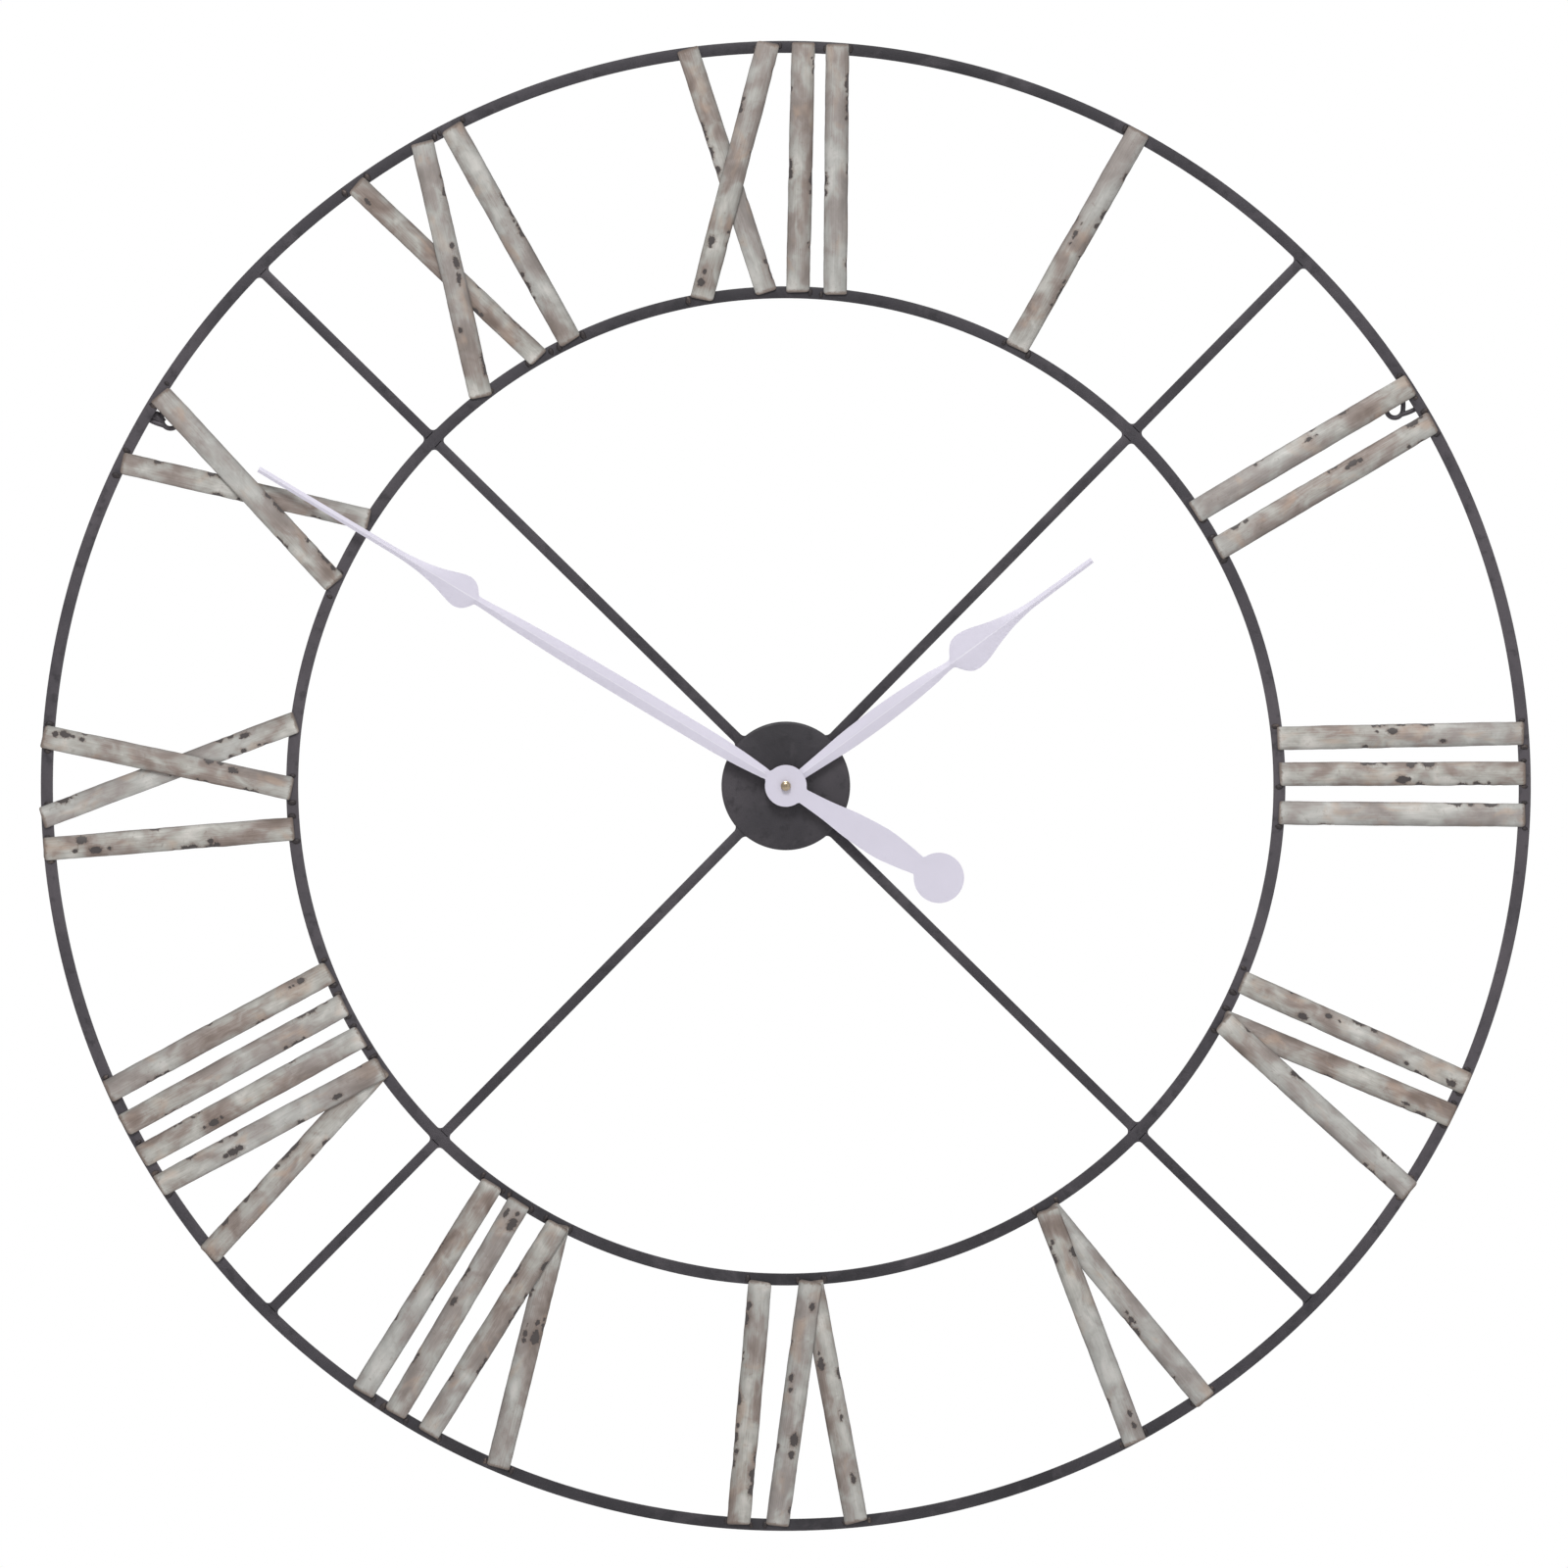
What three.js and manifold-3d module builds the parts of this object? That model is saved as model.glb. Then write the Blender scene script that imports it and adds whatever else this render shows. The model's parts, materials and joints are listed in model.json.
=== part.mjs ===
// A large open wall clock: two iron rings on four spokes, Roman numerals made of sheet strips laid
// across the rings, two spade hands, and a battery movement behind the hub.
//
// The clock is drawn face-on, in millimetres: x to the right, y up, and z as the height off the
// wall. The last lines stand it up, so that its face looks along -Y and z becomes -Y.
// Clock angles are in degrees, clockwise from 12.
import * as THREE from 'three';
import { mergeVertices } from 'three/addons/utils/BufferGeometryUtils.js';
import Module from 'manifold-3d';

// Rings and spokes
const outerRadius = 500;
const innerRadius = 327.3;
const ringWidth = 8;
const ringBack = 15;
const ringFront = 18;
const spokeWidth = 7;
const spokeBack = 13;
const gap = 0.3;
const outerRingMid = outerRadius - ringWidth / 2;
const innerRingMid = innerRadius + ringWidth / 2;

// Hub disc with a turned-back rim
const hubRadius = 43.2;
const hubBack = 17.6;
const hubFront = 19.1;
const hubRimBack = 13.5;
const sheet = 1.5;

// Numeral strips
const stripWidth = 16;
const crossedWidth = 15;
const stripSheet = 1;
const stripOverhang = 1.6;
const stripCrown = 2.4;
const crossingBow = 2.3;

// Hanging loops, bent from wire
const loopX = 411;
const loopY = 253;
const loopWidth = 14.5;
const loopHeight = 22.1;
const wireRadius = 1.7;
const loopDepth = 13;
const footStart = new THREE.Vector2(4.2, -7.4);
const footEnd = new THREE.Vector2(16.6, -2.2);

// Movement: a square case that holds the gear train above and one AA cell below
const caseSize = 56;
const caseDepth = 16;
const caseWall = 1.5;
const caseFrontWall = 1.1;
const coverThickness = 1.5;
const bayTop = -11.4;
const bayWall = 0.8;
const cellRadius = 7.1;
const cellLength = 49.5;
const cellY = -19;
const cellDepth = 7.5;
const bushingRadius = 4;
const bushingFront = 22.4;
const hourTubeRadius = 2.5;
const shaftRadius = 1.4;
const arborBack = 1;
const arborFront = 15.3;
const arborRadius = 0.4;

// Gear train: tooth counts from the minute shaft to the rotor, and the motion work
const trainModule = 0.4;
const motionModule = 0.5;
const hourModule = 0.48;
const gearWidth = 1;

// Hands
const minuteAngle = 301.5;
const hourAngle = 54.1;
const handSheet = 1.2;
const foldSlope = 0.22;
const foldLimit = 1.4;
const hourBack = 22.8;
const minuteBack = 25.8;

const iron = { color: 0x49464c, roughness: 0.6, metalness: 0.6 };
const paintedTin = { color: 0xa8a39c, roughness: 0.7, metalness: 0.3 };
const lilacPaint = { color: 0xd4d0de, roughness: 0.5, metalness: 0.1 };
const brass = { color: 0xb8a078, roughness: 0.35, metalness: 0.9 };
const blackPlastic = { color: 0x1c1c1e, roughness: 0.5, metalness: 0 };
const whitePlastic = { color: 0xe6e3da, roughness: 0.45, metalness: 0 };
const rubber = { color: 0x101010, roughness: 0.9, metalness: 0 };
const steel = { color: 0x9a9ca0, roughness: 0.35, metalness: 0.9 };
const cellJacket = { color: 0x3a5f55, roughness: 0.4, metalness: 0.2 };

const wasm = await Module();
wasm.setup();

const face = new THREE.Group();

function piece(name, geometry, finish) {
  const mesh = new THREE.Mesh(geometry, new THREE.MeshStandardMaterial(finish));
  mesh.name = name;
  face.add(mesh);
  return mesh;
}

// --- solids -------------------------------------------------------------------------------

function solid(geometry) {
  const bare = geometry.index ? geometry.toNonIndexed() : geometry.clone();
  bare.deleteAttribute('normal');
  bare.deleteAttribute('uv');
  const merged = mergeVertices(bare, 1e-3);
  return new wasm.Manifold(new wasm.Mesh({
    numProp: 3,
    vertProperties: merged.attributes.position.array,
    triVerts: new Uint32Array(merged.index.array),
  }));
}

function geometryOf(body) {
  const mesh = body.getMesh();
  const geometry = new THREE.BufferGeometry();
  geometry.setAttribute('position', new THREE.BufferAttribute(mesh.vertProperties, 3));
  geometry.setIndex(new THREE.BufferAttribute(mesh.triVerts, 1));
  geometry.computeVertexNormals();
  return geometry;
}

function join(...geometries) {
  return geometryOf(geometries.map(solid).reduce((whole, next) => whole.add(next)));
}

function cut(geometry, ...tools) {
  return geometryOf(tools.map(solid).reduce((whole, tool) => whole.subtract(tool), solid(geometry)));
}

function plate(shape, back, front, curveSegments = 6) {
  const settings = { depth: front - back, bevelEnabled: false, curveSegments };
  return new THREE.ExtrudeGeometry(shape, settings).translate(0, 0, back);
}

function disc(radius, back, front, x = 0, y = 0, sides = 16) {
  const geometry = new THREE.CylinderGeometry(radius, radius, front - back, sides);
  return geometry.rotateX(Math.PI / 2).translate(x, y, (back + front) / 2);
}

// A profile of [radius, depth] points turned about z.
function turned(profile, sides) {
  const points = profile.map(([radius, depth]) => new THREE.Vector2(radius, depth));
  return new THREE.LatheGeometry(points, sides).rotateX(Math.PI / 2);
}

// A turned ring with a rectangular section, or any closed section.
function ring(inner, outer, back, front, sides) {
  return turned([[inner, back], [outer, back], [outer, front], [inner, front], [inner, back]], sides);
}

function block(left, right, bottom, top, back, front) {
  const geometry = new THREE.BoxGeometry(right - left, top - bottom, front - back);
  return geometry.translate((left + right) / 2, (bottom + top) / 2, (back + front) / 2);
}

const radians = THREE.MathUtils.degToRad;

// --- rings, spokes and hub ----------------------------------------------------------------

piece('outer_ring', ring(outerRadius - ringWidth, outerRadius, ringBack, ringFront, 96), iron);
piece('inner_ring', ring(innerRadius, innerRadius + ringWidth, ringBack, ringFront, 96), iron);

// A spoke's side outline: it runs flush with the rings, dips behind the inner ring in a half lap
// and ends in a tongue behind the outer ring.
function spokeGeometry() {
  const lap = ringBack - gap;
  const side = new THREE.Shape([
    [hubRadius + gap, spokeBack],
    [outerRadius - 2, spokeBack],
    [outerRadius - 2, lap],
    [outerRadius - ringWidth - gap, lap],
    [outerRadius - ringWidth - gap, ringFront],
    [innerRadius + ringWidth + gap, ringFront],
    [innerRadius + ringWidth + gap, lap],
    [innerRadius - gap, lap],
    [innerRadius - gap, ringFront],
    [hubRadius + gap, ringFront],
  ].map(([along, depth]) => new THREE.Vector2(along, depth)));
  const bar = new THREE.ExtrudeGeometry(side, { depth: spokeWidth, bevelEnabled: false });
  bar.translate(0, 0, -spokeWidth / 2);
  const upright = new THREE.Matrix4().makeBasis(
    new THREE.Vector3(0, 1, 0),
    new THREE.Vector3(0, 0, 1),
    new THREE.Vector3(1, 0, 0),
  );
  return bar.applyMatrix4(upright);
}

const spokes = { upper_right: 45, lower_right: 135, lower_left: 225, upper_left: 315 };
for (const [place, angle] of Object.entries(spokes)) {
  piece(`spoke_${place}`, spokeGeometry(), iron).rotation.z = -radians(angle);
}

const hubBore = bushingRadius + gap;
piece('hub_disc', turned([
  [hubBore, hubBack],
  [hubRadius - sheet - 0.5, hubBack],
  [hubRadius - sheet, hubBack - 0.5],
  [hubRadius - sheet, hubRimBack],
  [hubRadius, hubRimBack],
  [hubRadius, hubFront - 1.2],
  [hubRadius - 0.8, hubFront - 0.4],
  [hubRadius - 2.5, hubFront],
  [hubBore, hubFront],
  [hubBore, hubBack],
], 48), iron);

// --- numeral strips -----------------------------------------------------------------------

// Every stroke of each numeral, from left to right when its head is up: how it is laid, and how
// far its middle stands clockwise of the hour line, along the inner ring and the outer ring.
const bar = 'bar';
const under = 'crossed_under';
const over = 'crossed_over';
const legUnder = 'leg_under';
const legOver = 'leg_over';
const numerals = {
  I: [[bar, -10, -10]],
  II: [[bar, -19, -19], [bar, 10, 10]],
  III: [[bar, -29, -31], [bar, -5, -4], [bar, 21, 24]],
  IV: [[bar, -36, -51], [legUnder, -7, -27], [legOver, -7, 30]],
  V: [[legUnder, -7, -33], [legOver, -7, 21]],
  VI: [[legUnder, -14, -43], [legOver, -14, 10], [bar, 20, 36]],
  VII: [[legUnder, -12, -57], [legOver, -12, -5], [bar, 18, 21], [bar, 40, 47]],
  VIII: [[legUnder, -25, -74], [legOver, -25, -18], [bar, 0, 5], [bar, 24, 29], [bar, 48, 54]],
  IX: [[bar, -26, -38], [over, 1, 37], [under, 46, -16]],
  X: [[over, -31, 22], [under, 18, -31]],
  XI: [[over, -44, 9], [under, 3, -44], [bar, 27, 31]],
  XII: [[over, -54, -8], [under, -10, -61], [bar, 11, 16], [bar, 36, 39]],
};

// How far the strips' ends of each numeral sit outwards of the usual overhang, at the inner ring
// and at the outer ring.
const setOut = {
  I: [2, 2],
  II: [0, 1],
  III: [1.5, -1],
  IV: [3, 2.2],
  V: [4, 2],
  VI: [3, -1],
  VII: [1.5, -1],
  VIII: [0.5, 2],
  IX: [1.5, 2.2],
  X: [2, -2],
  XI: [1.5, -1.5],
  XII: [1.5, 1.5],
};

// How a strip rises off the rings along its length, s from -1 at its foot to 1 at its head: the
// crown is how far its middle stands above its edges, and the lift carries the whole strip.
const smooth = (from, to, s) => THREE.MathUtils.smoothstep(s, from, to);
const rises = {
  [bar]: (s) => ({ crown: stripCrown * (1 - s ** 4), lift: 0 }),
  [under]: (s) => ({ crown: 0.25 * stripCrown * (1 - s ** 4), lift: 0 }),
  [over]: (s) => ({ crown: 0.6 * stripCrown * (1 - s ** 4), lift: crossingBow * (1 - s * s) }),
  [legUnder]: (s) => ({ crown: stripCrown * smooth(-0.2, 0.3, s) * (1 - s ** 4), lift: 0 }),
  [legOver]: (s) => ({
    crown: stripCrown * (1 - s ** 4),
    lift: (stripSheet + gap) * (1 - smooth(-0.1, 0.5, s)),
  }),
};

function stripGeometry(width, length, rise) {
  const rows = 8;
  const geometry = new THREE.BoxGeometry(width, length, stripSheet, 2, rows, 1);
  const points = geometry.attributes.position;
  for (let i = 0; i < points.count; i += 1) {
    const { crown, lift } = rise(points.getY(i) / (length / 2));
    const across = points.getX(i) / (width / 2);
    points.setZ(i, points.getZ(i) + lift + crown * (1 - across * across));
  }
  return geometry.translate(0, 0, ringFront + gap + stripSheet / 2);
}

function onRing(hour, offset, radius) {
  const angle = radians(hour * 30) + offset / radius;
  return new THREE.Vector2(radius * Math.sin(angle), radius * Math.cos(angle));
}

Object.entries(numerals).forEach(([numeral, strokes], index) => {
  const [innerSetOut, outerSetOut] = setOut[numeral];
  strokes.forEach(([lay, foot, head], stroke) => {
    const from = onRing(index + 1, foot, innerRingMid);
    const to = onRing(index + 1, head, outerRingMid);
    const along = to.clone().sub(from).normalize();
    from.addScaledVector(along, innerSetOut);
    to.addScaledVector(along, outerSetOut);
    const run = to.clone().sub(from);
    const width = lay === under ? crossedWidth : stripWidth;
    const geometry = stripGeometry(width, run.length() + 2 * stripOverhang, rises[lay]);
    const strip = piece(`strip_${numeral}_${stroke + 1}`, geometry, paintedTin);
    const middle = from.add(to).divideScalar(2);
    strip.position.set(middle.x, middle.y, 0);
    strip.rotation.z = run.angle() - Math.PI / 2;
  });
});

// --- hanging loops ------------------------------------------------------------------------

// A long wire loop behind the ring, with a foot from its lower bend out to the ring's back.
function loopGeometry() {
  const bend = loopWidth / 2 - wireRadius;
  const stretch = (loopHeight - loopWidth) / 2;
  const loop = new THREE.TorusGeometry(bend, wireRadius, 6, 18);
  loop.rotateZ(Math.PI / 18);
  const points = loop.attributes.position;
  for (let i = 0; i < points.count; i += 1) {
    points.setY(i, points.getY(i) + stretch * Math.sign(points.getY(i)));
  }
  const run = footEnd.clone().sub(footStart);
  const middle = footStart.clone().add(footEnd).divideScalar(2);
  const foot = new THREE.CylinderGeometry(wireRadius, wireRadius, run.length(), 6);
  foot.rotateZ(run.angle() - Math.PI / 2).translate(middle.x, middle.y, 0);
  return join(loop, foot).translate(0, 0, loopDepth);
}

const loopRight = piece('hanging_loop_right', loopGeometry(), iron);
loopRight.position.set(loopX, loopY, 0);
const loopLeft = piece('hanging_loop_left', loopGeometry().rotateY(Math.PI), iron);
loopLeft.position.set(-loopX, loopY, 2 * loopDepth);

// --- gear train ---------------------------------------------------------------------------

// Teeth are straight-sided and slim, with free play on both flanks and at the tips.
function toothedShape(teeth, module, phase) {
  const pitch = (2 * Math.PI) / teeth;
  const root = (teeth / 2 - 1) * module;
  const tip = (teeth / 2 + 0.8) * module;
  const corners = [[-0.26, root], [-0.09, tip], [0.09, tip], [0.26, root]];
  const points = [];
  for (let tooth = 0; tooth < teeth; tooth += 1) {
    for (const [share, radius] of corners) {
      const angle = phase + (tooth + share) * pitch;
      points.push(new THREE.Vector2(radius * Math.cos(angle), radius * Math.sin(angle)));
    }
  }
  return new THREE.Shape(points);
}

// The phase that puts a gap of the follower where the driver has a tooth, on the line between
// their centres, which leaves the driver at this angle.
function meshedPhase(line, driverTeeth, driverPhase, teeth) {
  const toothShare = (line - driverPhase) / ((2 * Math.PI) / driverTeeth);
  return line + Math.PI - (0.5 - toothShare) * ((2 * Math.PI) / teeth);
}

const beside = (centre, distance, degrees) => centre.clone().add(
  new THREE.Vector2(distance, 0).rotateAround(new THREE.Vector2(), radians(degrees)),
);

// A toothed wheel or pinion as a plate. Its teeth mesh with those that drive it.
function toothed(teeth, module, phase, back, width = gearWidth) {
  return plate(toothedShape(teeth, module, phase), back, back + width);
}

function arbor(radius = arborRadius, back = arborBack, front = arborFront) {
  return disc(radius, back, front, 0, 0, 8);
}

const layers = { fifth: 2.5, fourth: 4.5, third: 6.5, centre: 8.5, minute: 10.5, hour: 12.5 };
const pinionWidth = 2;
const pinion = 6;
const centreTeeth = 48;
const thirdTeeth = 45;
const fourthTeeth = 36;
const fifthTeeth = 30;
const cannonTeeth = 12;
const minuteTeeth = 36;
const minutePinionTeeth = 10;
const hourTeeth = 40;
const knobTeeth = 18;

const apart = (a, b, module) => ((a + b) / 2) * module;
const thirdLine = 150;
const fourthLine = 100;
const fifthLine = 0;
const rotorLine = 10;
const minuteLine = 20;
const knobLine = 50;
const centre = new THREE.Vector2();
const thirdAt = beside(centre, apart(centreTeeth, pinion, trainModule), thirdLine);
const fourthAt = beside(thirdAt, apart(thirdTeeth, pinion, trainModule), fourthLine);
const fifthAt = beside(fourthAt, apart(fourthTeeth, pinion, trainModule), fifthLine);
const rotorAt = beside(fifthAt, apart(fifthTeeth, pinion, trainModule), rotorLine);
const minuteAt = beside(centre, apart(cannonTeeth, minuteTeeth, motionModule), minuteLine);
const knobAt = beside(minuteAt, apart(minuteTeeth, knobTeeth, motionModule), knobLine);

function wheelPiece(name, at, geometry, finish) {
  piece(name, geometry, finish).position.set(at.x, at.y, 0);
}

// One train wheel: its pinion lies one layer nearer the face and meshes with the slower wheel.
function trainWheel(teeth, layer, driverTeeth, line) {
  const phase = meshedPhase(radians(line), driverTeeth, 0, pinion);
  const wheel = toothed(teeth, trainModule, 0, layer);
  const leaves = toothed(pinion, trainModule, phase, layer + gearWidth - 0.1, pinionWidth + 0.1);
  return join(wheel, leaves, arbor());
}

const shaftFront = 29;
const cannon = toothed(cannonTeeth, motionModule, 0, layers.minute - 0.3, gearWidth + 0.6);
wheelPiece('centre_wheel', centre, join(
  toothed(centreTeeth, trainModule, 0, layers.centre),
  disc(0.8, arborBack, layers.centre + 0.1, 0, 0, 8),
  disc(shaftRadius, layers.centre, shaftFront, 0, 0, 12),
  cannon,
), brass);
wheelPiece('third_wheel', thirdAt, trainWheel(thirdTeeth, layers.third, centreTeeth, thirdLine), brass);
wheelPiece(
  'fourth_wheel',
  fourthAt,
  trainWheel(fourthTeeth, layers.fourth, thirdTeeth, fourthLine),
  whitePlastic,
);
wheelPiece('fifth_wheel', fifthAt, trainWheel(fifthTeeth, layers.fifth, fourthTeeth, fifthLine), whitePlastic);

const rotorPhase = meshedPhase(radians(rotorLine), fifthTeeth, 0, pinion);
wheelPiece('rotor', rotorAt, join(
  toothed(pinion, trainModule, rotorPhase, layers.fifth - 0.2, gearWidth + 1.3),
  disc(3.2, 4.5, 8.5, 0, 0, 16),
  arbor(),
), steel);

const minutePhase = meshedPhase(radians(minuteLine), cannonTeeth, 0, minuteTeeth);
wheelPiece('minute_wheel', minuteAt, join(
  toothed(minuteTeeth, motionModule, minutePhase, layers.minute),
  toothed(minutePinionTeeth, hourModule, 0, layers.minute + gearWidth - 0.1, pinionWidth),
  arbor(0.6),
), whitePlastic);

const hourPhase = meshedPhase(radians(minuteLine + 180), minutePinionTeeth, 0, hourTeeth);
const hourTubeFront = 24.4;
wheelPiece('hour_wheel', centre, cut(
  join(
    toothed(hourTeeth, hourModule, hourPhase, layers.hour),
    disc(hourTubeRadius, layers.hour, hourTubeFront, 0, 0, 16),
  ),
  disc(shaftRadius + gap, layers.hour - 1, hourTubeFront + 1, 0, 0, 16),
), whitePlastic);

const knobPhase = meshedPhase(radians(knobLine), minuteTeeth, minutePhase, knobTeeth);
const knobRadius = 5.6;
wheelPiece('setting_knob', knobAt, cut(
  join(
    turned([[0, 0.3], [knobRadius - 0.4, 0.3], [knobRadius, 0.7], [knobRadius, 2.3], [0, 2.3]], 24),
    disc(1.2, 2, layers.minute + 0.1, 0, 0, 8),
    toothed(knobTeeth, motionModule, knobPhase, layers.minute),
    arbor(0.6, layers.minute),
  ),
  block(-knobRadius + 1.4, knobRadius - 1.4, -0.5, 0.5, -1, 1.1),
), blackPlastic);

// --- movement case, cover and cell --------------------------------------------------------

function roundedSquare(half, corner) {
  const shape = new THREE.Shape();
  shape.absarc(half - corner, half - corner, corner, 0, Math.PI / 2);
  shape.absarc(corner - half, half - corner, corner, Math.PI / 2, Math.PI);
  shape.absarc(corner - half, corner - half, corner, Math.PI, 1.5 * Math.PI);
  shape.absarc(half - corner, corner - half, corner, 1.5 * Math.PI, 2 * Math.PI);
  return shape;
}

const half = caseSize / 2;
const inside = half - caseWall;
const frontWallBack = caseDepth - caseFrontWall;
const arbors = [thirdAt, fourthAt, fifthAt, rotorAt, minuteAt, knobAt];
const pivotHole = arborRadius + gap;
const wideHole = 0.6 + gap;
const holeFor = (at) => (at === minuteAt || at === knobAt ? wideHole : pivotHole);

piece('movement_case', cut(
  join(
    plate(roundedSquare(half, 5), 0, caseDepth, 4),
    disc(bushingRadius, caseDepth - 0.1, bushingFront, 0, 0, 24),
  ),
  block(-inside, inside, bayTop + bayWall, inside, -1, frontWallBack),
  block(-inside, inside, -inside, bayTop, -1, frontWallBack),
  disc(hourTubeRadius + gap, frontWallBack - 1, bushingFront + 1, 0, 0, 16),
  ...arbors.map((at) => disc(holeFor(at), 14, 15.6, at.x, at.y, 8)),
), blackPlastic);

const coverLeft = -inside + gap;
piece('movement_cover', cut(
  block(coverLeft, -coverLeft, bayTop + bayWall + gap, inside - gap, 0, coverThickness),
  disc(knobRadius + 0.5, -1, coverThickness + 1, knobAt.x, knobAt.y, 24),
  disc(0.8 + gap, 0.7, 3, 0, 0, 8),
  ...arbors.slice(0, 5).map((at) => disc(holeFor(at), 0.7, 3, at.x, at.y, 8)),
), blackPlastic);

piece('rubber_washer', ring(bushingRadius + 0.6, 12, caseDepth + gap, hubBack - gap, 24), rubber);

piece('bushing_nut', cut(
  disc(7.4, hubFront + gap, hubFront + 3, 0, 0, 6),
  disc(bushingRadius + gap, hubFront, hubFront + 4, 0, 0, 24),
), brass);

const cellEnd = cellLength / 2;
const cell = turned([
  [0, -cellEnd],
  [5, -cellEnd],
  [5, -cellEnd + 0.3],
  [cellRadius, -cellEnd + 0.3],
  [cellRadius, cellEnd - 0.7],
  [cellRadius - 0.6, cellEnd - 0.1],
  [2.8, cellEnd - 0.1],
  [2.8, cellEnd + 1],
  [0, cellEnd + 1],
], 24);
cell.rotateY(Math.PI / 2);
piece('battery', cell, cellJacket).position.set(-0.4, cellY, cellDepth);

// --- hands --------------------------------------------------------------------------------

// A blade that points to 12: cross rows at [distance from the pivot, half width], with a fold
// along the middle that rises with the width, up to a limit that lets the hands pass each other.
function blade(rows, back, slope) {
  const last = rows.length - 1;
  const geometry = new THREE.BoxGeometry(2, last, handSheet, 2, last, 1);
  const points = geometry.attributes.position;
  for (let i = 0; i < points.count; i += 1) {
    const [distance, halfWidth] = rows[Math.round(points.getY(i) + last / 2)];
    const side = points.getX(i);
    const fold = Math.min(slope * halfWidth, foldLimit) * (1 - Math.abs(side));
    const height = back + handSheet / 2 + points.getZ(i) + fold;
    points.setXYZ(i, side * halfWidth, distance, height);
  }
  return geometry;
}

const minuteHub = 14;
const minuteBlade = [
  [8, 2.6], [40, 5.3], [60, 5.9], [165, 5.9], [200, 4.8], [243, 2.7],
  [247, 6.5], [253, 10.8], [263, 9.5], [274, 6.4], [288, 3.5], [303, 2.1], [412, 1.6],
];
const tail = [[8, 4.6], [30, 6.4], [55, 9.6], [74, 10.5], [92, 8.6], [106, 6.4]];
const weightAt = 119.7;
const weightRadius = 16.9;
piece('minute_hand', cut(
  join(
    blade(minuteBlade, minuteBack, foldSlope),
    disc(minuteHub, minuteBack, minuteBack + handSheet, 0, 0, 32),
    blade(tail, minuteBack, 0).rotateZ(Math.PI),
    disc(weightRadius, minuteBack, minuteBack + 2, 0, -weightAt, 24),
  ),
  disc(shaftRadius + gap, minuteBack - 1, minuteBack + 4, 0, 0, 12),
), lilacPaint).rotation.z = -radians(minuteAngle);

const hourHub = 10;
const hourBlade = [
  [5, 2.6], [30, 4.6], [56, 6.3], [75, 6.6], [90, 6.4], [120, 4.4], [135, 2.9],
  [141, 8.5], [150, 13.1], [159, 12.4], [175, 7.2], [190, 3.6], [206, 2.1], [255, 1.5],
];
piece('hour_hand', cut(
  join(
    blade(hourBlade, hourBack, foldSlope),
    disc(hourHub, hourBack, hourBack + handSheet, 0, 0, 24),
  ),
  disc(hourTubeRadius + gap, hourBack - 1, hourBack + 4, 0, 0, 16),
), lilacPaint).rotation.z = -radians(hourAngle);

const nutBack = minuteBack + handSheet + gap;
piece('hand_nut', turned([
  [0, shaftFront + gap],
  [shaftRadius + gap, shaftFront + gap],
  [shaftRadius + gap, nutBack],
  [3.3, nutBack],
  [3.3, nutBack + 2.2],
  [2.3, nutBack + 3.1],
  [0, nutBack + 3.4],
], 16), brass);

// Stand the clock up against the wall plane, facing -Y.
face.rotation.x = Math.PI / 2;
const clock = new THREE.Group();
clock.add(face);

export default clock;
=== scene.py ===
"""A large open wall clock: two iron rings on four spokes, Roman numerals of worn tin strips, spade hands.

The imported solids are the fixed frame. Every piece here is drawn face-on, at the size and place that
the frame gives: x to the right, z up, and depth as the height off the wall, towards -Y. Clock angles
run clockwise from 12.
"""
import json
import math
import random
from contextlib import contextmanager

import bpy
from bpy.props import FloatProperty, FloatVectorProperty, IntProperty, PointerProperty
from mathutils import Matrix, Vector, noise

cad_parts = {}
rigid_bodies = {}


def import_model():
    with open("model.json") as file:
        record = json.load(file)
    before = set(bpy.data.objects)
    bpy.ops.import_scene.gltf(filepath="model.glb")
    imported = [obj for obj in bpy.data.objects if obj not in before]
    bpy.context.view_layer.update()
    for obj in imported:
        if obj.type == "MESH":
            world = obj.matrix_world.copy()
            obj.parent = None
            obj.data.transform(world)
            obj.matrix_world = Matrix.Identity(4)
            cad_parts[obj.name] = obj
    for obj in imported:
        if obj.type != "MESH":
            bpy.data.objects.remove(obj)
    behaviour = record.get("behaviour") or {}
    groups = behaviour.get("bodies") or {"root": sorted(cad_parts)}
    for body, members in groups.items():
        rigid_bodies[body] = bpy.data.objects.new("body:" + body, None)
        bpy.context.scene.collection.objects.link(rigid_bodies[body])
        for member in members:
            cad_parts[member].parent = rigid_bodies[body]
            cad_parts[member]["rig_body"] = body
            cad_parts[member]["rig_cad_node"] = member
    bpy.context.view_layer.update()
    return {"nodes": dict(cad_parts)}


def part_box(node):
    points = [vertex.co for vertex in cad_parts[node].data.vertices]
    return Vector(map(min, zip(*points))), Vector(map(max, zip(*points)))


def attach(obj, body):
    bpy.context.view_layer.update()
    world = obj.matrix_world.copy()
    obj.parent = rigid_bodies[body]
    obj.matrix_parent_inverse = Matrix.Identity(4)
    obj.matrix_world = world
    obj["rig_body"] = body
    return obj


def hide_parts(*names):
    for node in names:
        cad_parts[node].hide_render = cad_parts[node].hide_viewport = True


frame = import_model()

bl_info = {
    "name": "Iron and Tin Wall Clock",
    "version": (1, 0, 0),
    "blender": (4, 5, 0),
    "location": "View3D > Sidebar > Wall Clock",
    "description": "Builds the visible pieces and finishes of an open iron wall clock",
    "category": "Add Mesh",
}

MM = 0.001
AXIS = (0, 1, 0)

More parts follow.
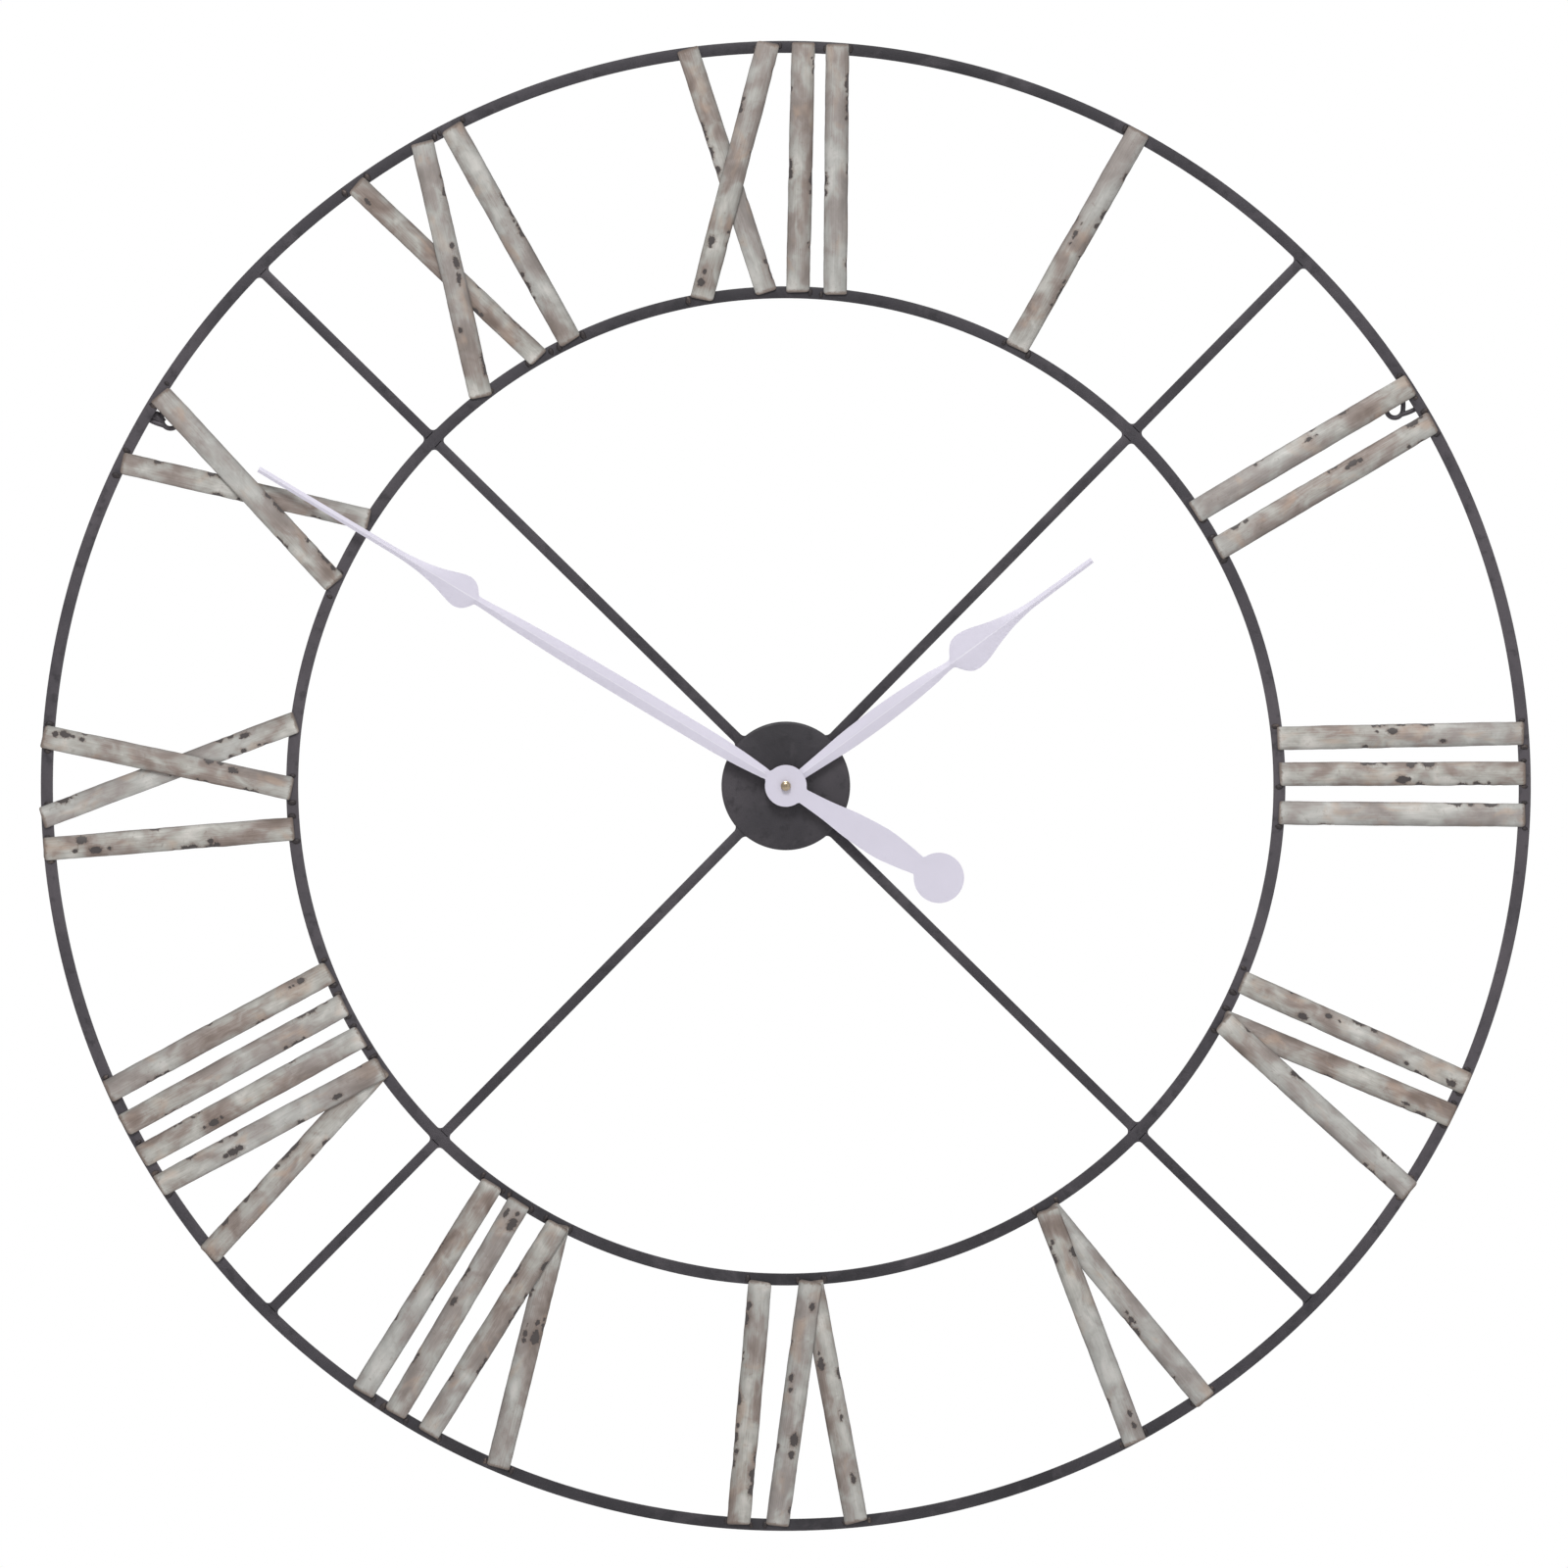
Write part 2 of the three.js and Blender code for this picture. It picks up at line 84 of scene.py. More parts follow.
# What the frame says: radii from the middle of the dial, and depths off the wall.
OUTER_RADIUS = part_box("outer_ring")[1].x
INNER_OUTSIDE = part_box("inner_ring")[1].x
RING_BACK = -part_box("outer_ring")[1].y
RING_FRONT = -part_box("outer_ring")[0].y
HUB_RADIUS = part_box("hub_disc")[1].x
HUB_FRONT = -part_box("hub_disc")[0].y
HUB_RIM_BACK = -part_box("hub_disc")[1].y
SPOKE_BACK = -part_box("spoke_upper_right")[1].y
MINUTE_BACK = -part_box("minute_hand")[1].y
HOUR_BACK = -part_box("hour_hand")[1].y
NUT_FRONT = -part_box("hand_nut")[0].y
CASE_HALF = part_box("movement_case")[1].x
GAP = 0.3 * MM


# --- Sizes and colours that a maker may change ---------------------------------------------------

def length(name, description, millimetres):
    return FloatProperty(
        name=name, description=description, default=millimetres * MM, unit="LENGTH", precision=5,
    )


def paint(name, description, red, green, blue):
    """A colour property from the 0 to 255 values of a colour chart, kept as linear light."""
    linear = [
        (c / 255 / 12.92) if c <= 10 else ((c / 255 + 0.055) / 1.055) ** 2.4
        for c in (red, green, blue)
    ]
    return FloatVectorProperty(
        name=name, description=description, default=linear, subtype="COLOR", size=3, min=0, max=1,
    )


class ClockSizes(bpy.types.PropertyGroup):
    ring_width: length("Ring width", "Face width of both rings", 8)
    spoke_width: length("Spoke width", "Face width of the four spokes", 7)
    bar_edge: length("Bar edge", "Rounding of the iron bars' edges", 0.45)
    weld_fillet: length("Weld fillet", "Reach of the ground welds in the iron's corners", 3.2)
    strip_width: length("Strip width", "Width of a numeral strip", 16)
    crossed_width: length("Crossed strip width", "Width of a strip that passes under another", 15)
    strip_sheet: length("Strip sheet", "Thickness of the strips' tin sheet", 1)
    strip_overhang: length("Strip overhang", "How far a strip runs past the middle of each ring", 1.6)
    strip_crown: length("Strip crown", "How far a strip's middle stands above its edges", 2.4)
    crossing_bow: length("Crossing bow", "How far an upper strip bows over a crossing", 2.3)
    strip_corner: length("Strip corner", "Rounding of the strips' corners", 2.2)
    strip_wander: length("Strip wander", "How far a strip's cut edges wander", 0.28)
    hand_sheet: length("Hand sheet", "Thickness of the hands' sheet", 1.2)
    fold_limit: length("Fold limit", "Highest rise of the hands' middle fold", 1.4)
    strip_seed: IntProperty(
        name="Strip seed", description="Start of the random draws for wear", default=11,
    )


class ClockColours(bpy.types.PropertyGroup):
    iron: paint("Iron", "Blackened iron", 68, 65, 70)
    # Also the pale end of the scale that the iron's painted sheen reaches towards three and nine o'clock.
    iron_cloud_and_sheen: paint("Iron cloud", "Paler clouds rubbed on the iron", 88, 83, 88)
    # Also the dark end of the scale that the iron's painted shade reaches towards twelve and six.
    iron_dark_and_shade: paint("Iron dark", "Darker blotches on the iron", 50, 48, 52)
    tin: paint("Tin", "Grey-green whitewash on the strips", 176, 174, 168)
    tin_pale: paint("Tin pale", "Palest rubbed whitewash", 212, 208, 202)
    tin_brown: paint("Tin brown", "Grey-brown tint under the whitewash", 146, 133, 126)
    tin_ochre: paint("Tin ochre", "Warm ochre patches", 184, 160, 142)
    tin_cool: paint("Tin cool", "Cool grey of the cleaner whitewash", 186, 188, 188)
    tin_stain: paint("Tin stain", "Brown stains", 116, 101, 92)
    tin_chip: paint("Tin chip", "Dark bare metal in the chips", 74, 68, 67)
    weld: paint("Weld", "Weld lumps at the strips' ends", 54, 48, 49)
    hand: paint("Hand", "Satin lilac-grey paint of the hands", 213, 209, 223)
    brass: paint("Brass", "Turned brass", 184, 168, 144)
    plastic: paint("Black plastic", "Moulded case plastic", 34, 34, 36)
    gear: paint("Gear plastic", "White gear plastic", 226, 223, 212)
    steel: paint("Steel", "Bright spring steel", 176, 178, 180)
    copper: paint("Copper", "Enamelled copper winding", 178, 92, 52)
    board: paint("Circuit board", "Green circuit board", 28, 84, 52)
    jacket: paint("Cell jacket", "Printed jacket of the cell", 52, 92, 84)


def sizes():
    return bpy.context.scene.clock_sizes


def colours():
    return bpy.context.scene.clock_colours


# --- Modelling helpers ---------------------------------------------------------------------------

def fresh():
    """Leaves edit mode and deselects everything, the frame's solids included."""
    if bpy.context.mode != "OBJECT":
        bpy.ops.object.mode_set(mode="OBJECT")
    bpy.ops.object.select_all(action="DESELECT")


def named(name):
    obj = bpy.context.active_object
    obj.name = name
    obj.data.name = name
    return obj


def choose(*objects):
    fresh()
    for obj in objects:
        obj.select_set(True)
    bpy.context.view_layer.objects.active = objects[0]


@contextmanager
def editing(obj, mode="VERT"):
    choose(obj)
    bpy.ops.object.mode_set(mode="EDIT")
    bpy.ops.mesh.select_mode(type=mode)
    yield
    bpy.ops.object.mode_set(mode="OBJECT")


def modify(obj, kind, **settings):
    """Adds a modifier and applies it."""
    choose(obj)
    modifier = obj.modifiers.new(kind.title(), kind)
    for key, value in settings.items():
        setattr(modifier, key, value)
    bpy.ops.object.modifier_apply(modifier=modifier.name)


def round_edges(obj, width, segments=2, angle=30):
    modify(
        obj, "BEVEL", width=width, segments=segments, limit_method="ANGLE",
        angle_limit=math.radians(angle), harden_normals=False,
    )


def clean(obj, merge=2e-6):
    """Merges doubled points and turns all faces outwards."""
    with editing(obj):
        bpy.ops.mesh.select_all(action="SELECT")
        bpy.ops.mesh.remove_doubles(threshold=merge)
        bpy.ops.mesh.normals_make_consistent(inside=False)


def smooth(obj, angle=30):
    choose(obj)
    bpy.ops.object.shade_smooth_by_angle(angle=math.radians(angle))


def settle(obj):
    choose(obj)
    bpy.ops.object.transform_apply(location=True, rotation=True, scale=True)


def joined(name, objects):
    choose(*objects)
    bpy.ops.object.join()
    return named(name)


def finish_piece(obj, body, finish, *nodes, angle=30):
    """Gives a modelled piece its shading, finish and body, and hides the plain solids that it stands for.
    """
    smooth(obj, angle)
    obj.data.materials.clear()
    obj.data.materials.append(finish_named(finish))
    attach(obj, body)
    if nodes:
        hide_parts(*nodes)


def on_face(angle, radius, depth=0.0):
    """The point at a clock angle in radians, a radius and a depth off the wall."""
    return Vector((radius * math.sin(angle), -depth, radius * math.cos(angle)))


def ramp(low, high, value):
    share = min(max((value - low) / (high - low), 0), 1)
    return share * share * (3 - 2 * share)


def turned(name, profile, sides=96, centre=(0, 0)):
    """A profile of [radius, depth] turned about an axis off the wall. A zero radius closes on a pole."""
    pole = 1e-6
    x, z = centre
    points = [(max(radius, pole), depth) for radius, depth in profile]
    fresh()
    bpy.ops.mesh.primitive_circle_add(
        vertices=sides, radius=points[0][0], location=(x, -points[0][1], z), rotation=(math.pi / 2, 0, 0),
    )
    obj = named(name)
    settle(obj)
    with editing(obj, "EDGE"):
        bpy.ops.mesh.select_all(action="SELECT")
        for (radius, depth), (next_radius, next_depth) in zip(points, points[1:]):
            bpy.ops.mesh.extrude_edges_move(
                TRANSFORM_OT_translate={"value": (0, depth - next_depth, 0)},
            )
            grow = next_radius / radius
            bpy.ops.transform.resize(value=(grow, 1, grow), center_override=(x, -next_depth, z))
    clean(obj, merge=5e-6)
    return obj


def turned_along_x(name, profile, sides, y, z):
    """A profile of [radius, x] turned about an axis along x."""
    obj = turned(name, profile, sides)
    for vertex in obj.data.vertices:
        vertex.co = Vector((-vertex.co.y, y + vertex.co.x, z + vertex.co.z))
    clean(obj)
    return obj


def cut_from_sheet(name, outline, back, front):
    """A plate between two depths, cut to an outline of (x, z) points."""
    fresh()
    bpy.ops.mesh.primitive_circle_add(vertices=len(outline), radius=1, fill_type="NGON")
    obj = named(name)
    for vertex, (x, z) in zip(obj.data.vertices, outline):
        vertex.co = (x, -back, z)
    with editing(obj, "FACE"):
        bpy.ops.mesh.select_all(action="SELECT")
        bpy.ops.mesh.extrude_region_move(TRANSFORM_OT_translate={"value": (0, back - front, 0)})
    clean(obj)
    return obj


def block(name, low, high, edge=0.0, segments=2):
    """A box between two corners with rounded edges."""
    low, high = Vector(low), Vector(high)
    fresh()
    bpy.ops.mesh.primitive_cube_add(size=1, location=(low + high) / 2)
    obj = named(name)
    obj.scale = high - low
    settle(obj)
    if edge:
        round_edges(obj, edge, segments)
    return obj


def wire(name, points, radius, closed=False, resolution=6):
    """A round wire along a smooth curve through points, the ends of an open one closed by flat caps."""
    fresh()
    bpy.ops.curve.primitive_nurbs_path_add(location=(0, 0, 0))
    obj = named(name)
    curve = obj.data
    curve.splines.clear()
    spline = curve.splines.new("BEZIER")
    spline.bezier_points.add(len(points) - 1)
    for knot, point in zip(spline.bezier_points, points):
        knot.co = point
        knot.handle_left_type = knot.handle_right_type = "AUTO"
    spline.use_cyclic_u = closed
    curve.dimensions = "3D"
    curve.bevel_depth = radius
    curve.bevel_resolution = 3
    curve.resolution_u = resolution
    curve.use_fill_caps = not closed
    choose(obj)
    bpy.ops.object.convert(target="MESH")
    obj = named(name)
    clean(obj)
    return obj


def refined(name, node, edge, segments=2):
    """A copy of a plain solid, its loose triangles joined at their points and its edges rounded."""
    source = frame["nodes"][node]
    copy = source.copy()
    copy.data = source.data.copy()
    copy.parent = None
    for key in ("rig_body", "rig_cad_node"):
        del copy[key]
    bpy.context.scene.collection.objects.link(copy)
    copy.name = name
    copy.data.name = name
    clean(copy, merge=1e-5)
    round_edges(copy, edge, segments, angle=35)
    return copy


# --- Finishes ------------------------------------------------------------------------------------

class Finish:
    """A material's node tree, built a node at a time."""

    def __init__(self, name, **surface):
        self.material = bpy.data.materials.new(name)
        self.material.use_nodes = True
        self.tree = self.material.node_tree
        self.shader = self.tree.nodes["Principled BSDF"]
        for socket, value in surface.items():
            self.shader.inputs[socket.replace("_", " ")].default_value = value
        self.place = self.add("ShaderNodeTexCoord").outputs["Object"]

    def add(self, kind, **settings):
        node = self.tree.nodes.new(kind)
        for key, value in settings.items():
            setattr(node, key, value)
        return node

    def link(self, value, socket):
        if isinstance(value, bpy.types.NodeSocket):
            self.tree.links.new(value, socket)
        elif socket.type == "RGBA" and len(value) == 3:
            socket.default_value = (*value, 1)
        else:
            socket.default_value = value

    def stretched(self, vector, scale, move=(0, 0, 0)):
        node = self.add("ShaderNodeMapping")
        self.link(vector, node.inputs["Vector"])
        node.inputs["Scale"].default_value = scale
        node.inputs["Location"].default_value = move
        return node.outputs["Vector"]

    def uv(self, layer):
        return self.add("ShaderNodeUVMap", uv_map=layer).outputs["UV"]

    def attribute(self, name):
        return self.add("ShaderNodeAttribute", attribute_name=name).outputs["Fac"]

    def noise(self, scale, detail=4.0, vector=None, distortion=0.0, roughness=0.55):
        node = self.add("ShaderNodeTexNoise")
        self.link(vector or self.place, node.inputs["Vector"])
        node.inputs["Scale"].default_value = scale
        node.inputs["Detail"].default_value = detail
        node.inputs["Roughness"].default_value = roughness
        node.inputs["Distortion"].default_value = distortion
        return node.outputs["Fac"]

    def step(self, value, low, high, to_low=0.0, to_high=1.0):
        """Maps low..high smoothly onto to_low..to_high."""
        node = self.add("ShaderNodeMapRange", interpolation_type="SMOOTHSTEP")
        self.link(value, node.inputs["Value"])
        limits = {"From Min": low, "From Max": high, "To Min": to_low, "To Max": to_high}
        for socket, number in limits.items():
            node.inputs[socket].default_value = number
        return node.outputs["Result"]

    def math(self, operation, first, second=0.0):
        node = self.add("ShaderNodeMath", operation=operation)
        self.link(first, node.inputs[0])
        self.link(second, node.inputs[1])
        return node.outputs[0]

    def plus(self, total, field, weight):
        """The total with a weighted field added to it."""
        return self.math("ADD", total, self.math("MULTIPLY", field, weight))

    def scale(self, value, stops):
        """A colour scale: reads a colour, or a grey from 0 to 1, off (place, tone) stops."""
        node = self.add("ShaderNodeValToRGB")
        elements = node.color_ramp.elements
        while len(elements) < len(stops):
            elements.new(0.5)
        for element, (place, tone) in zip(elements, stops):
            element.position = place
            element.color = (tone, tone, tone, 1) if isinstance(tone, float) else (*tone, 1)
        self.link(value, node.inputs["Fac"])
        return node.outputs["Color"]

    def mix(self, share, first, second, blend="MIX"):
        node = self.add("ShaderNodeMix", data_type="RGBA", blend_type=blend)
        self.link(share, node.inputs["Factor"])
        self.link(first, node.inputs[6])
        self.link(second, node.inputs[7])
        return node.outputs[2]

    def layer(self, base, field, low, high, share, colour):
        """Lays a colour over the base, from none of it to a share as the field goes low to high."""
        return self.mix(self.step(field, low, high, 0, share), base, colour)

    def colour(self, value):
        self.link(value, self.shader.inputs["Base Color"])

    def roughness(self, value):
        self.link(value, self.shader.inputs["Roughness"])

    def bump(self, height, distance, strength=1.0):
        node = self.add("ShaderNodeBump")
        node.inputs["Strength"].default_value = strength
        node.inputs["Distance"].default_value = distance
        self.link(height, node.inputs["Height"])
        self.link(node.outputs["Normal"], self.shader.inputs["Normal"])


def shaded(colour, factor):
    return tuple(value * factor for value in colour)


def sideways_sheen_share(finish):
    """From -1 above and below the clock's centre to 1 on its left and right, and 0 at the centre; it
    places painted sheen and painted shade.
    """
    fade = (20 * MM) ** 2
    split = finish.add("ShaderNodeSeparateXYZ")
    finish.link(finish.place, split.inputs["Vector"])
    across = finish.math("POWER", split.outputs["X"], 2.0)
    upright = finish.math("POWER", split.outputs["Z"], 2.0)
    total = finish.math("ADD", finish.math("ADD", across, upright), fade)
    return finish.math("DIVIDE", finish.math("SUBTRACT", across, upright), total)


def blackened_iron():
    """Blackened iron, with a painted sheen that makes it paler towards three and nine o'clock and painted
    shade that makes it darker towards twelve and six, darker on the hub, with clouds and dark blotches."""
    c = colours()
    finish = Finish("blackened_iron", Metallic=0.35)
    smudge = finish.noise(9, 3, distortion=1.0)
    cloud = finish.noise(38, 4, distortion=0.8)
    blotch = finish.noise(130, 5, roughness=0.6)
    grain = finish.noise(900, 3)
    # Painted sheen and shade: the smudges are pushed paler at three and nine o'clock and darker at twelve
    # and six.
    rubbed = finish.plus(smudge, sideways_sheen_share(finish), 0.24)
    base = finish.scale(finish.math("ADD", finish.math("MULTIPLY", rubbed, 0.9), 0.05), (
        (0.2, c.iron_dark_and_shade), (0.5, c.iron), (0.8, c.iron_cloud_and_sheen),
    ))
    base = finish.layer(base, cloud, 0.5, 0.7, 0.45, c.iron_cloud_and_sheen)
    base = finish.layer(base, blotch, 0.52, 0.72, 0.6, c.iron_dark_and_shade)
    # Darker over the hub disc, fading out along the roots of the spokes.
    reach = finish.add("ShaderNodeVectorMath", operation="LENGTH")
    finish.link(finish.place, reach.inputs[0])
    hub_darkening = finish.step(reach.outputs["Value"], HUB_RADIUS + 3 * MM, HUB_RADIUS + 17 * MM, 0.84, 1.0)
    finish.colour(finish.mix(1.0, base, hub_darkening, "MULTIPLY"))
    finish.roughness(finish.step(blotch, 0.3, 0.7, 0.62, 0.44))
    finish.bump(finish.plus(grain, blotch, 2.5), 0.00012, 0.6)
    return finish.material


def worn_tin():
    """Whitewashed tin: pale and brown zones with fine streaks along the strip, long edges darker as
    painted shade of the crown, paler at three and nine o'clock and darker at twelve and six as painted
    sheen and shade, ends burnt brown, and bare charcoal chips in brown haloes."""
    c = colours()
    finish = Finish("worn_tin", Metallic=0.1)
    strip = finish.uv("Streak")

    def laid(lengthwise, crosswise, detail, move=(0, 0), **settings):
        """Noise laid along the strip, by how fine it is lengthwise and crosswise."""
        place = finish.stretched(strip, (lengthwise, crosswise, 1), (*move, 0))
        return finish.noise(1, detail, place, **settings)

    zone = laid(27, 55, 1.5, distortion=0.4)
    cloud = laid(70, 115, 2.5, (5, 2), distortion=0.7, roughness=0.5)
    streak = laid(40, 1100, 4, roughness=0.6)
    fine = laid(170, 3600, 4, roughness=0.6)
    drift = laid(5, 9, 1, (4, 8))
    warm = laid(40, 70, 2, (7, 3), distortion=0.6)
    smear = laid(360, 360, 6, distortion=1.0, roughness=0.65)

    shade = zone
    for field, weight in ((cloud, 0.55), (streak, 0.28), (fine, 0.2), (finish.attribute("foot"), 0.16)):
        shade = finish.plus(shade, field, weight)
    base = finish.scale(finish.step(shade, 0.67, 1.43), (
        (0.0, c.tin_stain), (0.3, c.tin_brown), (0.62, c.tin), (1.0, c.tin_pale),
    ))
    base = finish.layer(base, drift, 0.4, 0.62, 0.3, c.tin_cool)
    base = finish.layer(base, warm, 0.54, 0.74, 0.5, c.tin_ochre)

    # Painted shade: both long edges are darker, standing for the shade of the strip's crown; the
    # whitewash itself is palest a third of the way across.
    edge_shade_and_tone = finish.scale(finish.attribute("across"), (
        (0.0, 0.42), (0.035, 0.72), (0.1, 0.87), (0.34, 1.0),
        (0.69, 0.93), (0.875, 0.78), (0.955, 0.6), (1.0, 0.36),
    ))
    base = finish.mix(1.0, base, edge_shade_and_tone, "MULTIPLY")
    # Painted sheen and shade: the strips are made a little paler at three and nine o'clock and darker at
    # twelve and six.
    base = finish.mix(1.0, base, finish.step(sideways_sheen_share(finish), -1, 1, 0.94, 1.05), "MULTIPLY")
    chip = finish.plus(finish.attribute("wear"), smear, 1.3)
    base = finish.layer(base, chip, 0.7, 1.08, 0.65, c.tin_stain)
    bare = finish.step(chip, 1.06, 1.12)
    base = finish.mix(bare, base, c.tin_chip)
    ends = finish.attribute("ends")
    base = finish.layer(base, finish.plus(ends, smear, 1.2), 0.8, 1.4, 0.85, c.tin_stain)
    base = finish.layer(base, ends, 0.72, 0.98, 0.6, c.tin_chip)
    finish.colour(base)
    finish.roughness(finish.step(streak, 0.3, 0.7, 0.62, 0.46))
    height = finish.plus(finish.math("MULTIPLY", streak, 0.6), bare, -1.2)
    finish.bump(finish.plus(height, fine, 0.4), 0.00012, 0.7)
    return finish.material


def hand_paint():
    """Satin lilac-grey paint with a faint drift and fleck, and a painted highlight along the fold's
    ridge.
    """
    c = colours()
    ridge_highlight = (0.86, 0.85, 0.9)
    finish = Finish("hand_paint", Metallic=0.0, Roughness=0.36)
    fleck = finish.noise(1400, 2)
    drift = finish.noise(14, 3)
    base = finish.layer(c.hand, drift, 0.35, 0.65, 1, shaded(c.hand, 0.96))
    base = finish.layer(base, fleck, 0.5, 0.8, 0.5, shaded(c.hand, 0.93))
    # Painted highlight: a pale line laid along the fold's ridge.
    finish.colour(finish.layer(base, finish.attribute("ridge"), 0.2, 0.9, 0.55, ridge_highlight))
    finish.bump(fleck, 0.00001, 0.3)
    return finish.material


def moulded(name, colour, rough, grain=1600, depth=0.00003):
    """A moulded plastic or rubber: a faint tint drift over a fine spark-eroded grain."""
    finish = Finish(name)
    drift = finish.noise(60, 3)
    texture = finish.noise(grain, 2)
    finish.colour(finish.layer(colour, drift, 0.35, 0.65, 0.3, shaded(colour, 0.8)))
    finish.roughness(finish.step(texture, 0.3, 0.7, rough - 0.06, rough + 0.06))
    finish.bump(texture, depth, 0.6)
    return finish.material


def bright_metal(name, colour, rough):
    """A bare metal with fine tool marks."""
    finish = Finish(name, Metallic=1.0)
    marks = finish.noise(600, 4)
    haze = finish.noise(180, 4)
    finish.colour(finish.layer(colour, haze, 0.45, 0.75, 0.35, shaded(colour, 0.62)))
    finish.roughness(finish.step(haze, 0.3, 0.7, rough, rough + 0.14))
    finish.bump(marks, 0.00003, 0.5)
    return finish.material


def weld_metal():
    """Burnt weld metal, brown in patches, with dark lumps."""
    c = colours()
    finish = Finish("weld_metal", Metallic=0.3)
    lump = finish.noise(700, 4)
    tone = finish.noise(120, 3)
    base = finish.layer(c.weld, tone, 0.5, 0.7, 0.6, c.tin_stain)
    finish.colour(finish.layer(base, lump, 0.5, 0.7, 0.8, c.iron_dark_and_shade))
    finish.roughness(finish.step(lump, 0.3, 0.7, 0.45, 0.65))
    finish.bump(lump, 0.0002, 0.8)
    return finish.material


def winding():
    """Fine copper wire wound round a bobbin that lies along x."""
    c = colours()
    finish = Finish("copper_winding", Metallic=0.9, Roughness=0.35)
    wave = finish.add("ShaderNodeTexWave", bands_direction="X")
    finish.link(finish.place, wave.inputs["Vector"])
    wave.inputs["Scale"].default_value = 1300
    wave.inputs["Distortion"].default_value = 0.6
    turns = wave.outputs["Fac"]
    finish.colour(finish.mix(turns, shaded(c.copper, 0.45), c.copper))
    finish.bump(turns, 0.00005)
    return finish.material


def circuit_board_lacquer():
    """Green lacquer over the weave of a glass-fibre board."""
    c = colours()
    finish = Finish("board_lacquer", Roughness=0.35)
    weave = finish.noise(1500, 2)
    finish.colour(finish.layer(c.board, weave, 0.4, 0.7, 0.5, shaded(c.board, 1.5)))
    finish.bump(weave, 0.00003, 0.5)
    return finish.material


FINISHES = {}


def finish_named(name):
    """Each material is made once, when a piece first asks for it."""
    c = colours()
    makers = {
        "iron": blackened_iron,
        "tin": worn_tin,
        "hand": hand_paint,
        "weld": weld_metal,
        "winding": winding,
        "board": circuit_board_lacquer,
        "brass": lambda: bright_metal("turned_brass", c.brass, 0.28),
        "steel": lambda: bright_metal("spring_steel", c.steel, 0.25),
        "plastic": lambda: moulded("black_plastic", c.plastic, 0.5),
        "gear": lambda: moulded("gear_plastic", c.gear, 0.45),
        "rubber": lambda: moulded("black_rubber", shaded(c.plastic, 0.6), 0.85, 900, 0.00006),
        "jacket": lambda: moulded("cell_jacket", c.jacket, 0.32, 400, 0.00001),
    }
    if name not in FINISHES:
        FINISHES[name] = makers[name]()
    return FINISHES[name]


# --- Rings, spokes and hub -----------------------------------------------------------------------

SPOKES = {"upper_right": 45, "lower_right": 135, "lower_left": 225, "upper_left": 315}
RING_STEPS = 360


def ring_piece(name, middle_radius):
    """A flat bar rolled into a ring: its section is drawn at 3 o'clock, rounded and spun round."""
    s = sizes()
    depth = (RING_FRONT + RING_BACK) / 2
    fresh()
    bpy.ops.mesh.primitive_plane_add(size=1, location=(middle_radius, -depth, 0))
    obj = named(name)
    obj.scale = (s.ring_width, RING_FRONT - RING_BACK, 1)
    settle(obj)
    with editing(obj):
        bpy.ops.mesh.select_all(action="SELECT")
        bpy.ops.mesh.bevel(offset=s.bar_edge, segments=3, affect="VERTICES")
        bpy.ops.mesh.select_all(action="SELECT")
        bpy.ops.mesh.delete(type="ONLY_FACE")
        bpy.ops.mesh.select_all(action="SELECT")
        bpy.ops.mesh.spin(steps=RING_STEPS, angle=2 * math.pi, center=(0, 0, 0), axis=AXIS)
    clean(obj)
    return obj


def spoke_piece(name, angle):
    """A flat bar from the hub's edge to the outer ring, half-lapped behind the inner ring."""
    s = sizes()
    lap = RING_BACK - GAP
    start = HUB_RADIUS - 1.1 * MM
    inner_in = INNER_OUTSIDE - s.ring_width
    outer_in = OUTER_RADIUS - s.ring_width
    end = OUTER_RADIUS - 2 * MM
    side = [
        (start, SPOKE_BACK), (end, SPOKE_BACK), (end, lap), (outer_in - GAP, lap),
        (outer_in - GAP, RING_FRONT), (INNER_OUTSIDE + GAP, RING_FRONT), (INNER_OUTSIDE + GAP, lap),
        (inner_in - GAP, lap), (inner_in - GAP, RING_FRONT), (start, RING_FRONT),
    ]
    outward = on_face(angle, 1)
    across = on_face(angle + math.pi / 2, 1)
    fresh()
    bpy.ops.mesh.primitive_circle_add(vertices=len(side), radius=1, fill_type="NGON")
    obj = named(name)
    for vertex, (along, depth) in zip(obj.data.vertices, side):
        vertex.co = outward * along - across * (s.spoke_width / 2) + Vector((0, -depth, 0))
    with editing(obj, "FACE"):
        bpy.ops.mesh.select_all(action="SELECT")
        bpy.ops.mesh.extrude_region_move(TRANSFORM_OT_translate={"value": across * s.spoke_width})
    clean(obj)
    round_edges(obj, s.bar_edge, 3, angle=60)
    return obj


def weld_fillet(name, corner, first, second, reach, proud=0.0):
    """A ground weld in the corner between two bars: a hollow-sided wedge on the bars' faces."""
    steps = 8
    bite = 0.5 * MM
    first, second = first.normalized(), second.normalized()
    back_corner = corner - (first + second) * bite
    far = corner + (first + second) * reach
    points = [back_corner, corner + first * reach - second * bite]
    for i in range(steps + 1):
        turn = (i / steps) * math.pi / 2
        points.append(far - second * reach * math.cos(turn) - first * reach * math.sin(turn))
    points.append(corner + second * reach - first * bite)
    outline = [(p.x, p.z) for p in points]
    obj = cut_from_sheet(name, outline, RING_BACK + 0.4 * MM, RING_FRONT + proud)
    round_edges(obj, 0.2 * MM, 1, angle=60)
    return obj


